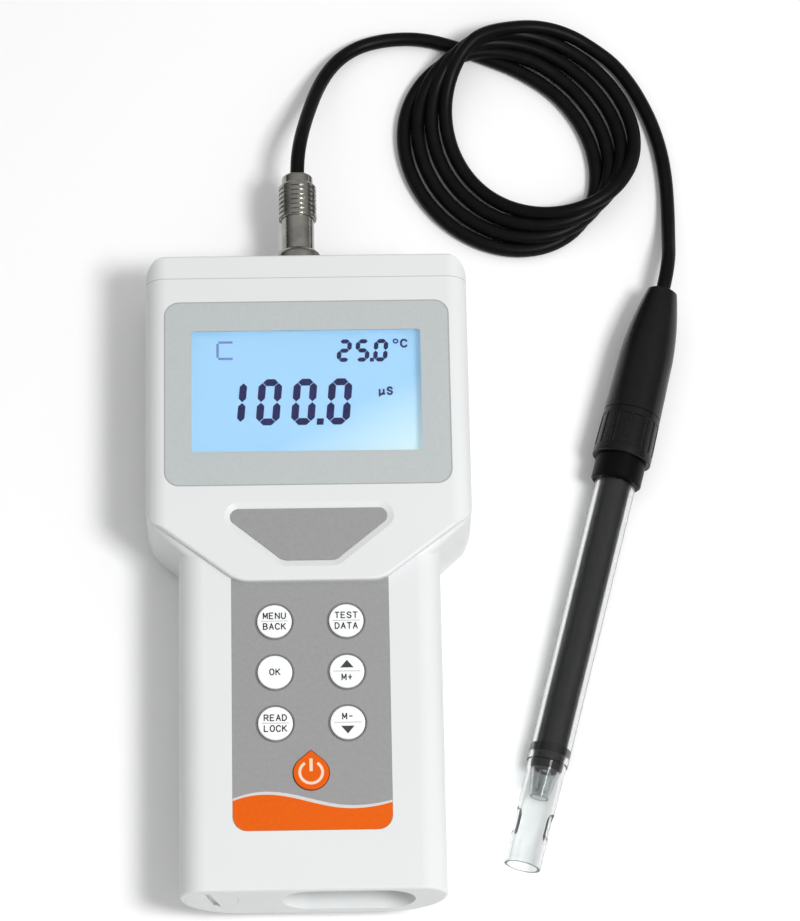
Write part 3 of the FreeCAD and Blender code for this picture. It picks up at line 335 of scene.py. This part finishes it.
def circuit_board(name):
    """Green board with copper tracks under the mask, in a grid."""
    made = Finish(name, roughness=0.35)
    tracks = made.add("ShaderNodeTexBrick", {
        "Vector": made.place, "Scale": 160.0, "Mortar Size": 0.09,
        "Color1": linear(16, 92, 50), "Color2": linear(20, 104, 58),
        "Mortar": linear(46, 132, 74)}).outputs["Color"]
    made.feed("Base Color", made.blend(made.between(made.noise(300), 0, 0.5), tracks,
                                       linear(14, 84, 46)))
    made.bump(made.noise(900), 0.00001)
    return made.material


CELL_LENGTH = 0.0445


def cell_wrapper(name):
    """Battery wrapper: a dark sleeve with one pale band round the positive end."""
    made = Finish(name, coat_weight=0.4)
    along = made.add("ShaderNodeSeparateXYZ", {"Vector": made.place}).outputs["Y"]
    band = made.maths("SINE", made.maths("MULTIPLY", along, TURN / CELL_LENGTH))
    tone = made.blend(made.between(band, 0, 1, 0.7, 0.72), linear(38, 42, 60),
                      linear(196, 150, 60))
    made.feed("Base Color", tone)
    made.feed("Roughness", made.between(made.noise(200), 0.22, 0.34))
    return made.material


CAP_SEAM, SEAM_HALF = 0.0891, 0.00016
SEAM_SHADE = linear(186, 187, 188)
WHITE, WHITE_SHADE = linear(226, 228, 228), linear(223, 225, 225)
BLACK, BLACK_SHADE = linear(6, 6, 6), linear(11, 11, 11)
FINISHES = {
    "case_white": moulded("case_white", WHITE, WHITE_SHADE, 0.42),
    "border_grey": printed("border_grey", linear(188, 193, 194), linear(184, 189, 190), 0.42),
    "lens_clear": clear_case("lens_clear", (0.97, 0.98, 0.98, 1), 0.0, 1.3),
    "display_blue": backlit("display_blue"),
    "label_grey": printed("label_grey", linear(154, 154, 154), linear(149, 149, 149), 0.5),
    "key_white": moulded("key_white", linear(247, 248, 248), linear(243, 244, 244), 0.34, 4000.0),
    "key_orange": moulded("key_orange", linear(229, 97, 11), linear(225, 93, 9), 0.4, 4000.0,
                          shine=0.12),
    "black_plastic": moulded("black_plastic", BLACK, BLACK_SHADE, 0.36, 1800.0, 0.000004, 0.07),
    "black_rubber": rubber("black_rubber", linear(7, 7, 7), linear(13, 13, 13), 0.4),
    "nickel": turned_metal("nickel", (0.25, 0.245, 0.225, 1), (0.36, 0.35, 0.325, 1), 0.18),
    "steel": turned_metal("steel", (0.56, 0.56, 0.56, 1), (0.64, 0.64, 0.63, 1), 0.3),
    "brass": turned_metal("brass", (0.76, 0.56, 0.25, 1), (0.84, 0.66, 0.33, 1), 0.22),
    "board_green": circuit_board("board_green"),
    "clear_plastic": clear_case("clear_plastic", (0.80, 0.81, 0.81, 1), 0.0, 1.4),
    "cell_glass": clear_case("cell_glass", (0.80, 0.82, 0.82, 1), 0.0, 1.5),
    "cell_wrap": cell_wrapper("cell_wrap"),
    "wire_red": rubber("wire_red", linear(176, 30, 26), linear(158, 24, 22), 0.4),
}
SHELL = seamed("shell_white", WHITE, WHITE_SHADE, 0.42)
GRIP = rubber("grip", linear(7, 7, 7), linear(13, 13, 13), 0.28, 0.24)
INK = printed("ink", linear(58, 58, 60), linear(70, 70, 72), 0.5)
INK_PALE = printed("ink_pale", linear(158, 158, 158), linear(168, 168, 168), 0.5)
# Painted shadow: a darker grey line where the edge of the display border's film casts shade.
BORDER_SHADOW_LINE = printed("border_shadow_line", linear(172, 174, 175), linear(164, 166, 167), 0.42)
# Painted shade: the rings' dark grey stands in for the shade in the gap round each key.
KEY_GAP_SHADE = printed("key_gap_shade", linear(112, 112, 110), linear(122, 122, 120), 0.5)
BAND_INK = printed("band_ink", linear(229, 98, 12), linear(225, 94, 10), 0.45, 0.12)
LINE_INK = printed("line_ink", linear(214, 211, 208), linear(206, 204, 201), 0.42)
MARK_INK = printed("mark_ink", linear(246, 214, 194), linear(240, 206, 186), 0.42)
SEGMENT_INK = printed("segment_ink", linear(22, 22, 72), linear(18, 18, 64), 0.3, 0.15)
SEGMENT_MID = printed("segment_mid", linear(52, 58, 122), linear(46, 52, 114), 0.3, 0.15)
SEGMENT_PALE = printed("segment_pale", linear(98, 118, 172), linear(90, 110, 164), 0.3, 0.15)


def dress(thing, finish):
    """Gives a piece its material."""
    thing.data.materials.clear()
    thing.data.materials.append(finish)
    return thing


for part in frame["record"]["subparts"]:
    held = nodes[part["node"]]
    for holder in held.material_slots:
        holder.link = "OBJECT"
        holder.material = FINISHES[part["material_slot"]]
for shell in ("front_shell", "rear_shell", "top_cap"):
    nodes[shell].material_slots[0].material = SHELL
dress(cable, FINISHES["black_rubber"])


# ---------------------------------------------------------------- mesh helpers

def finished(name, mesh_maker, finish, body):
    """A new mesh object from a filled bmesh, dressed and riding on a body."""
    mesh = bpy.data.meshes.new(name)
    mesh_maker.normal_update()
    bmesh.ops.recalc_face_normals(mesh_maker, faces=mesh_maker.faces)
    mesh_maker.to_mesh(mesh)
    mesh_maker.free()
    thing = bpy.data.objects.new(name, mesh)
    bpy.context.scene.collection.objects.link(thing)
    dress(thing, finish)
    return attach(thing, body)


def slab(maker, outline, low, high):
    """A flat piece: the outline (x, y) from height low to height high."""
    bottom = [maker.verts.new((x, y, low)) for x, y in outline]
    top = [maker.verts.new((x, y, high)) for x, y in outline]
    maker.faces.new(bottom[::-1])
    maker.faces.new(top)
    for index, near in enumerate(bottom):
        after = (index + 1) % len(bottom)
        maker.faces.new((near, bottom[after], top[after], top[index]))


def strip(maker, first, second, low, high):
    """A flat ribbon between two lines with the same number of points."""
    rows = [[maker.verts.new((x, y, z)) for x, y in line]
            for line, z in ((first, low), (first, high), (second, high), (second, low))]
    for near, far in zip(rows, rows[1:] + rows[:1]):
        for index in range(len(first) - 1):
            maker.faces.new((near[index], near[index + 1], far[index + 1], far[index]))
    maker.faces.new([row[0] for row in rows])
    maker.faces.new([row[-1] for row in rows[::-1]])


def arc(centre, radius, first, last, steps):
    """Points on an arc, angles in degrees."""
    return [(centre[0] + radius * math.cos(math.radians(first + (last - first) * n / steps)),
             centre[1] + radius * math.sin(math.radians(first + (last - first) * n / steps)))
            for n in range(steps + 1)]


# Plain capitals as strokes, each a run of points: x from 0 to 1 of the width, y of the height.
STROKES = {
    "A": [((0, 0), (0.5, 1), (1, 0)), ((0.2, 0.36), (0.8, 0.36))],
    "B": [((0.6, 0.53), (0, 0.53)), ((0, 0), (0, 1), (0.62, 1), (0.88, 0.86), (0.88, 0.67),
          (0.6, 0.53), (0.95, 0.37), (0.95, 0.15), (0.65, 0), (0, 0))],
    "C": [((1, 0.8), (0.75, 1), (0.3, 1), (0, 0.74), (0, 0.26), (0.3, 0), (0.75, 0), (1, 0.2))],
    "D": [((0, 0), (0, 1), (0.55, 1), (0.97, 0.7), (0.97, 0.3), (0.55, 0), (0, 0))],
    "E": [((0.9, 1), (0, 1), (0, 0), (0.9, 0)), ((0, 0.52), (0.75, 0.52))],
    "K": [((0, 0), (0, 1)), ((0.95, 1), (0, 0.42)), ((0.32, 0.6), (1, 0))],
    "L": [((0, 1), (0, 0), (0.88, 0))],
    "M": [((0, 0), (0, 1), (0.5, 0.25), (1, 1), (1, 0))],
    "N": [((0, 0), (0, 1), (1, 0), (1, 1))],
    "O": [((0.3, 1), (0.7, 1), (1, 0.74), (1, 0.26), (0.7, 0), (0.3, 0), (0, 0.26), (0, 0.74),
          (0.3, 1))],
    "R": [((0, 0), (0, 1), (0.65, 1), (0.95, 0.85), (0.95, 0.62), (0.65, 0.47), (0, 0.47)),
          ((0.55, 0.47), (1, 0))],
    "S": [((0.97, 0.8), (0.72, 1), (0.28, 1), (0.02, 0.8), (0.06, 0.62), (0.92, 0.4),
           (0.98, 0.2), (0.72, 0), (0.28, 0), (0, 0.2))],
    "T": [((0, 1), (1, 1)), ((0.5, 1), (0.5, 0))],
    "U": [((0, 1), (0, 0.26), (0.3, 0), (0.7, 0), (1, 0.26), (1, 1))],
    "u": [((0, 0.7), (0, -0.25)), ((0, 0.1), (0.3, 0), (0.6, 0.05), (0.85, 0.25)),
          ((0.9, 0.7), (0.9, 0.1), (1.05, 0))],
    "+": [((0.1, 0.5), (0.9, 0.5)), ((0.5, 0.12), (0.5, 0.88))],
    "-": [((0.15, 0.5), (0.85, 0.5))],
}


def bar(maker, start, end, wide, low, high):
    """A straight stroke, a little longer than its ends so that corners close."""
    along = (Vector(end) - Vector(start)).normalized() * wide / 2
    side = Vector((-along.y, along.x))
    near, far = Vector(start) - 0.6 * along, Vector(end) + 0.6 * along
    slab(maker, [tuple(spot) for spot in (near - side, far - side, far + side, near + side)],
         low, high)


def word(maker, text, centre, size, wide, low, high):
    """Letters of a size (width, height) drawn with strokes, centred on a point."""
    pitch = size[0] + 1.75 * wide
    left = centre[0] - (pitch * len(text) - 1.75 * wide) / 2
    base = centre[1] - size[1] / 2
    for index, letter in enumerate(text):
        for run in STROKES[letter]:
            spots = [(left + index * pitch + x * size[0], base + y * size[1]) for x, y in run]
            for start, end in zip(spots, spots[1:]):
                bar(maker, start, end, wide, low, high)


# ---------------------------------------------------------------- the display's figures

GLASS_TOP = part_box("lcd_glass")[1].z
FIGURE_LOW, FIGURE_HIGH = GLASS_TOP + 0.00002, GLASS_TOP + 0.00008
LEAN = 0.085
BORDER_CORNER = 0.0045
SEGMENTS = {"0": "abcdef", "1": "bc", "2": "abged", "5": "afgcd"}


def segment(kind, width, height, stroke):
    """One bar of a seven-bar figure, as points from the figure's lower left corner."""
    half, gap = stroke / 2, stroke * 0.06
    middle = height / 2
    if kind in "adg":
        y = {"a": height - half, "d": half, "g": middle}[kind]
        left, right = half + gap, width - half - gap
        return [(left, y), (left + half, y + half), (right - half, y + half), (right, y),
                (right - half, y - half), (left + half, y - half)]
    x = half if kind in "ef" else width - half
    low = {"e": half, "c": half, "f": middle, "b": middle}[kind] + gap
    high = low + middle - half - 2 * gap
    return [(x, low), (x + half, low + half), (x + half, high - half), (x, high),
            (x - half, high - half), (x - half, low + half)]


def figure(maker, digit, x, y, width, height, stroke):
    """A leaning seven-bar figure with its lower left corner at (x, y)."""
    for kind in SEGMENTS[digit]:
        outline = [(x + px + LEAN * py, y + py)
                   for px, py in segment(kind, width, height, stroke)]
        slab(maker, outline, FIGURE_LOW, FIGURE_HIGH)


def point_mark(maker, x, y, side):
    """The decimal point between two figures."""
    slab(maker, [(x, y), (x + side, y), (x + side * 1.08, y + side), (x + side * 0.08, y + side)],
         FIGURE_LOW, FIGURE_HIGH)


def display_figures():
    """The large reading and the smaller temperature above it."""
    maker = bmesh.new()
    row, width, height, stroke, pitch = 0.0436, 0.00685, 0.0145, 0.00215, 0.01018
    first = -0.02535
    for index, digit in enumerate("1000"):
        figure(maker, digit, first + index * pitch, row, width, height, stroke)
    point_mark(maker, first + 2 * pitch + width + 0.0007, row, stroke * 0.92)
    row, width, height, stroke, pitch = 0.0633, 0.00415, 0.0071, 0.00130, 0.0053
    first = 0.00855
    for index, digit in enumerate("250"):
        figure(maker, digit, first + index * pitch, row, width, height, stroke)
    point_mark(maker, first + pitch + width + 0.0003, row, stroke * 0.9)
    finished("display_figures", maker, SEGMENT_INK, "meter")


def display_marks():
    """The small marks: a steady-reading bracket, the degree sign and the two units."""
    maker = bmesh.new()
    left, right, low, high, wide = -0.0260, -0.0218, 0.0647, 0.0699, 0.0007
    inset, gap = 0.0004, 0.0006
    for start, end in (((left, high - gap), (left, low + gap)),
                       ((left + inset, high), (right, high)), ((left + inset, low), (right, low))):
        bar(maker, start, end, wide, FIGURE_LOW, FIGURE_HIGH)
    finished("display_bracket", maker, SEGMENT_PALE, "meter")
    maker = bmesh.new()
    degree, outer, inner, sides = (0.0259, 0.0697), 0.00085, 0.00035, 16
    ring = arc(degree, outer, 0, 360, sides)[:-1]
    hole = arc(degree, inner, 0, 360, sides)[:-1]
    strip(maker, ring + ring[:1], hole + hole[:1], FIGURE_LOW, FIGURE_HIGH)
    word(maker, "C", (0.0283, 0.0690), (0.0016, 0.0022), 0.00060, FIGURE_LOW, FIGURE_HIGH)
    word(maker, "uS", (0.0228, 0.0540), (0.0013, 0.0021), 0.00058, FIGURE_LOW, FIGURE_HIGH)
    finished("display_marks", maker, SEGMENT_MID, "meter")


def border_outline():
    """Fine painted shadow line round the display border, where the film ends."""
    low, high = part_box("display_border")
    thick = 0.00004
    maker = bmesh.new()
    lines = []
    for inset in (0.00005, 0.0003):
        corner = BORDER_CORNER - inset
        line = []
        for x, y, first in ((high.x, high.y, 0), (low.x, high.y, 90), (low.x, low.y, 180),
                            (high.x, low.y, 270)):
            away_x, away_y = (1 if x > 0 else -1), (1 if y == high.y else -1)
            middle = (x - away_x * (inset + corner), y - away_y * (inset + corner))
            line += arc(middle, corner, first, first + 90, 10)
        lines.append(line + line[:1])
    strip(maker, lines[0], lines[1], high.z, high.z + thick)
    finished("border_outline", maker, BORDER_SHADOW_LINE, "meter")


display_figures()
display_marks()
border_outline()


# ---------------------------------------------------------------- the keypad's printing

LABEL_LOW, LABEL_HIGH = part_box("keypad_label")
LABEL_TOP = LABEL_HIGH.z
INK_THICK = 0.00003
LABEL_CORNER = 0.0042
WAVE = [(-0.0225, -0.0704), (-0.0135, -0.0686), (0.0112, -0.0729), (0.0225, -0.0712)]
LINE_WIDE = 0.0010
RING_INNER, RING_OUTER = 0.00518, 0.00556
KEYS = {
    "key_menu": ("MENU", "BACK"), "key_cal": ("TEST", "DATA"), "key_set": ("OK",),
    "key_up": ("up", "M+"), "key_hold": ("READ", "LOCK"), "key_down": ("M-", "down"),
}


def wave_height(x):
    """The band's upper edge: two level turning points joined by half waves."""
    for (near_x, near_y), (far_x, far_y) in zip(WAVE, WAVE[1:]):
        if x <= far_x:
            break
    share = max(0.0, min(1.0, (x - near_x) / (far_x - near_x)))
    if near_x == WAVE[0][0]:
        return far_y - (far_y - near_y) * (1 - share) ** 2
    if far_x == WAVE[-1][0]:
        return near_y + (far_y - near_y) * share ** 2
    return near_y + (far_y - near_y) * (1 - math.cos(math.pi * share)) / 2


def orange_band():
    """Band printed across the label's lower end, with a pale line along its wavy edge."""
    left, right, low = LABEL_LOW.x, LABEL_HIGH.x, LABEL_LOW.y
    steps = 60
    spots = [left + (right - left) * n / steps for n in range(steps + 1)]
    edge = [(x, wave_height(x)) for x in spots]
    floor = []
    for x in spots:
        inset = max(0.0, LABEL_CORNER - min(x - left, right - x))
        floor.append((x, low + LABEL_CORNER - math.sqrt(LABEL_CORNER ** 2 - inset ** 2)))
    maker = bmesh.new()
    strip(maker, edge, floor, LABEL_TOP, LABEL_TOP + INK_THICK)
    finished("orange_band", maker, BAND_INK, "meter")
    maker = bmesh.new()
    upper = [(x, y + LINE_WIDE * (0.65 + 0.35 * math.sin(math.pi * (x - left) / (right - left))))
             for x, y in edge]
    strip(maker, upper, edge, LABEL_TOP, LABEL_TOP + INK_THICK)
    finished("band_line", maker, LINE_INK, "meter")


def key_ring(name, centre, inner, outer):
    """Embossed ring in the label round a key, its dark grey a painted shade of the gap round the
    key.
    """
    rise = 0.00012
    profile = [(inner, 0), (inner, rise * 0.6), ((inner + outer) / 2, rise), (outer, rise * 0.5),
               (outer, 0)]
    maker = bmesh.new()
    around = 64
    rows = [[maker.verts.new((centre.x + radius * math.cos(TURN * n / around),
                              centre.y + radius * math.sin(TURN * n / around),
                              LABEL_TOP + height)) for n in range(around)]
            for radius, height in profile]
    for near, far in zip(rows, rows[1:] + rows[:1]):
        for n in range(around):
            after = (n + 1) % around
            maker.faces.new((near[n], near[after], far[after], far[n]))
    finished(name, maker, KEY_GAP_SHADE, "meter")


def triangle(centre, half, rise):
    """An arrow head: rise is negative for one that points down."""
    x, y = centre
    return [(x - half, y - rise / 2), (x + half, y - rise / 2), (x, y + rise / 2)]


def key_legend(key, rows):
    """Words or arrows printed on a key, with a thin line between two rows."""
    low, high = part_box(key)
    centre = (low + high) / 2
    bottom, top = high.z, high.z + INK_THICK
    arrows = {"up": 1, "down": -1}
    lift_of_row = 0.0018 if set(rows) & set(arrows) else 0.0016
    arrow_lift, arrow_half, arrow_tall = 0.0004, 0.0019, 0.0023
    letter, stroke, line_half, line_wide = (0.00112, 0.0017), 0.00034, 0.0038, 0.00016
    places = [0.0] if len(rows) == 1 else [lift_of_row, -lift_of_row]
    maker = bmesh.new()
    for row, lift in zip(rows, places):
        if row in arrows:
            spot = (centre.x, centre.y + lift + arrow_lift * arrows[row])
            slab(maker, triangle(spot, arrow_half, arrow_tall * arrows[row]), bottom, top)
        else:
            word(maker, row, (centre.x, centre.y + lift), letter, stroke, bottom, top)
    finished(f"{key}_legend", maker, INK, f"{key}_body")
    if len(rows) == 2:
        maker = bmesh.new()
        bar(maker, (centre.x - line_half, centre.y), (centre.x + line_half, centre.y), line_wide,
            bottom, top)
        finished(f"{key}_line", maker, INK_PALE, f"{key}_body")


def power_mark():
    """The usual ring with a gap and a short bar, printed on the orange key."""
    low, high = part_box("key_power")
    flange_radius = (high.x - low.x) / 2
    centre = Vector((low.x + flange_radius, low.y + flange_radius, high.z))
    inner, outer, gap, steps = 0.0028, 0.0036, 33, 48
    bar_from, bar_to, bar_wide = 0.0006, 0.0038, 0.0009
    top = centre.z + INK_THICK
    maker = bmesh.new()
    strip(maker, arc(centre, outer, 90 + gap, 450 - gap, steps),
          arc(centre, inner, 90 + gap, 450 - gap, steps), centre.z, top)
    bar(maker, (centre.x, centre.y + bar_from), (centre.x, centre.y + bar_to), bar_wide, centre.z,
        top)
    finished("power_mark", maker, MARK_INK, "key_power_body")


orange_band()
for key, rows in KEYS.items():
    key_legend(key, rows)
    low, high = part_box(key)
    key_ring(f"{key}_ring", (low + high) / 2, RING_INNER, RING_OUTER)
power_mark()


# ---------------------------------------------------------------- the plug's sleeve

def curved_block(maker, axis, inner, outer, first, last, near, far, steps):
    """A rib on a cylinder round an axis along +Y: radii, angles in degrees and Y limits."""
    grid = []
    for y in (near, far):
        for radius in (inner, outer):
            grid.append([maker.verts.new((
                axis.x + radius * math.cos(math.radians(first + (last - first) * n / steps)), y,
                axis.z + radius * math.sin(math.radians(first + (last - first) * n / steps))))
                for n in range(steps + 1)])
    near_in, near_out, far_in, far_out = grid
    for n in range(steps):
        for a, b in ((near_in, near_out), (near_out, far_out), (far_out, far_in),
                     (far_in, near_in)):
            maker.faces.new((a[n], a[n + 1], b[n + 1], b[n]))
    for n in (0, steps):
        maker.faces.new((near_in[n], near_out[n], far_out[n], far_in[n]))


def ring_of(maker, axis, profile, around=72):
    """A closed ring turned from (radius, y) points about an axis along +Y."""
    rows = [[maker.verts.new((axis.x + radius * math.cos(TURN * n / around), y,
                              axis.z + radius * math.sin(TURN * n / around)))
             for n in range(around)] for radius, y in profile]
    for near, far in zip(rows, rows[1:] + rows[:1]):
        for n in range(around):
            after = (n + 1) % around
            maker.faces.new((near[n], near[after], far[after], far[n]))


def knurled_sleeve():
    """Locking sleeve with columns of short ribs between smooth strips."""
    low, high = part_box("plug_sleeve")
    axis = (low + high) / 2
    outer, front, back = (high.x - low.x) / 2, low.y, high.y
    bore, waist = 0.0049, outer - 0.0004
    maker = bmesh.new()
    ring_of(maker, axis, [
        (bore, front), (waist - 0.0002, front), (waist, front + 0.0003), (waist, back - 0.0004),
        (waist - 0.0003, back), (bore, back)])
    columns, ribs, pitch, tall, half_angle, first = 6, 7, 0.00152, 0.00098, 21, 0.0004
    for column in range(columns):
        middle = 90 + column * 360 / columns
        for rib in range(ribs):
            start = front + first + rib * pitch
            curved_block(maker, axis, waist - 0.0003, outer, middle - half_angle,
                         middle + half_angle, start, start + tall, 8)
    sleeve = finished("knurled_sleeve", maker, FINISHES["nickel"], "plug_sleeve_body")
    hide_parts("plug_sleeve")
    rounding = sleeve.modifiers.new("rounding", "BEVEL")
    rounding.width = 0.00012
    rounding.segments = 2
    rounding.limit_method = "ANGLE"


knurled_sleeve()


# ---------------------------------------------------------------- the probe's handle

PROBE_TOP = Vector((0.1062, 0.0933, 0.010278))
PROBE_YAW, PROBE_DIP = math.radians(-14.9), math.radians(91.581)
PROBE_TURN = (Quaternion((0, 0, 1), PROBE_YAW) @ Quaternion((1, 0, 0), PROBE_DIP)).to_matrix()


def on_probe(radius, angle, along):
    """A point at a radius and an angle round the probe's axis, measured along from its top."""
    return PROBE_TOP + PROBE_TURN @ Vector((radius * math.cos(angle), radius * math.sin(angle),
                                            along))


def handle_radius(along):
    """The handle's outline: a narrow neck that flares, then an almost straight grip."""
    neck, flare, rim = (0.0, 0.0044), (0.025, 0.00805), (0.0555, 0.00875)
    if along <= flare[0]:
        share = along / flare[0]
        return neck[1] + (flare[1] - neck[1]) * math.sin(share * math.pi / 2) ** 0.92
    share = (along - flare[0]) / (rim[0] - flare[0])
    return flare[1] + (rim[1] - flare[1]) * share


def probe_handle():
    """Handle with a fine seam above a band of shallow rectangular grip recesses."""
    around, windows, depth = 144, 12, 0.0003
    per_window = around // windows
    seam = (0.0408, 0.0412)
    window_start, window_end, edge = 0.0430, 0.0530, 0.00025
    bore_end, bore = 0.0285, 0.00584
    seam_edge, rim = 0.00012, 0.0555
    cuts = {"seam": 0.0002, "edge": 0.00008, "rim": 0.0004}
    stations = [(0.0, None), (0.0004, None)]
    stations += [(0.0015 + 0.0235 * n / 24, None) for n in range(25)]
    stations += [(0.029, None), (0.033, None), (0.037, None), (seam[0], None),
                 (seam[0] + seam_edge, "seam"), (seam[1] - seam_edge, "seam"), (seam[1], None)]
    stations += [(window_start, None), (window_start + edge, "window"),
                 (window_end - edge, "window"), (window_end, None)]
    stations += [(0.0546, None), (0.0553, "edge"), (rim, "rim")]
    maker = bmesh.new()
    rings = []
    for along, kind in stations:
        ring = []
        for n in range(around):
            radius = handle_radius(along)
            if along == 0.0:
                radius -= 0.0005
            radius -= cuts.get(kind, 0)
            if kind == "window" and 1 <= n % per_window <= per_window - 3:
                radius -= depth
            ring.append(maker.verts.new(on_probe(radius, TURN * (n + 0.5) / around, along)))
        rings.append(ring)
    for along in (rim, bore_end):
        rings.append([maker.verts.new(on_probe(bore, TURN * (n + 0.5) / around, along))
                      for n in range(around)])
    for near, far in zip(rings, rings[1:]):
        for n in range(around):
            after = (n + 1) % around
            maker.faces.new((near[n], near[after], far[after], far[n]))
    maker.faces.new(rings[0][::-1])
    maker.faces.new(rings[-1])
    handle = finished("probe_handle", maker, GRIP, "probe_lead")
    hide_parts("probe_cap")
    sharp = math.radians(28)
    handle.data.set_sharp_from_angle(angle=sharp)
    for face in handle.data.polygons:
        face.use_smooth = True


probe_handle()


# ---------------------------------------------------------------- floor and light

def make_floor():
    half, depth = 2.0, -0.0001
    maker = bmesh.new()
    maker.faces.new([maker.verts.new((x * half, y * half, depth))
                     for x, y in ((-1, -1), (1, -1), (1, 1), (-1, 1))])
    mesh = bpy.data.meshes.new("floor")
    maker.to_mesh(mesh)
    maker.free()
    floor = bpy.data.objects.new("floor", mesh)
    bpy.context.scene.collection.objects.link(floor)
    paper = Finish("paper", roughness=0.85, specular_ior_level=0.1)
    paper.feed("Base Color", paper.blend(paper.between(paper.noise(3), 0, 1),
                                         (0.985, 0.985, 0.985, 1), (0.975, 0.975, 0.975, 1)))
    mesh.materials.append(paper.material)


def softbox(name, place, aim, wide, tall, power):
    """A rectangular area light that points at a spot."""
    data = bpy.data.lights.new(name, "AREA")
    data.shape = "RECTANGLE"
    data.size, data.size_y = wide, tall
    data.energy = power
    light = bpy.data.objects.new(name, data)
    light.location = place
    light.rotation_mode = "QUATERNION"
    light.rotation_quaternion = (Vector(aim) - Vector(place)).to_track_quat("-Z", "Y")
    bpy.context.scene.collection.objects.link(light)


# How much brighter the surroundings are towards +X, and how bright they are at the horizon and
# from the height BRIGHT_FROM (the sine of the elevation) upwards.
SIDE_LIGHT = 0.13
HORIZON, OVERHEAD, BRIGHT_FROM = 0.08, 0.66, 0.8


def make_light():
    aim = (0.03, 0.04, 0)
    softbox("key", (0.60, -0.36, 1.25), aim, 0.34, 0.34, 12.6)
    world = bpy.data.worlds.new("studio")
    world.use_nodes = True
    tree = world.node_tree
    sky = tree.nodes["Background"]
    way = tree.nodes.new("ShaderNodeTexCoord").outputs["Generated"]
    split = tree.nodes.new("ShaderNodeSeparateXYZ")
    height = tree.nodes.new("ShaderNodeMapRange")
    tree.links.new(way, split.inputs["Vector"])
    tree.links.new(split.outputs["Z"], height.inputs["Value"])
    for socket, value in (("From Min", 0.0), ("From Max", BRIGHT_FROM), ("To Min", HORIZON),
                          ("To Max", OVERHEAD)):
        height.inputs[socket].default_value = value
    side = tree.nodes.new("ShaderNodeMath")
    side.operation = "MULTIPLY_ADD"
    side.inputs[1].default_value = SIDE_LIGHT
    tree.links.new(split.outputs["X"], side.inputs[0])
    tree.links.new(height.outputs["Result"], side.inputs[2])
    tree.links.new(side.outputs[0], sky.inputs["Strength"])
    sky.inputs["Color"].default_value = (1.0, 1.0, 1.0, 1)
    bpy.context.scene.world = world
    bpy.context.scene.view_settings.view_transform = "Standard"


make_floor()
make_light()
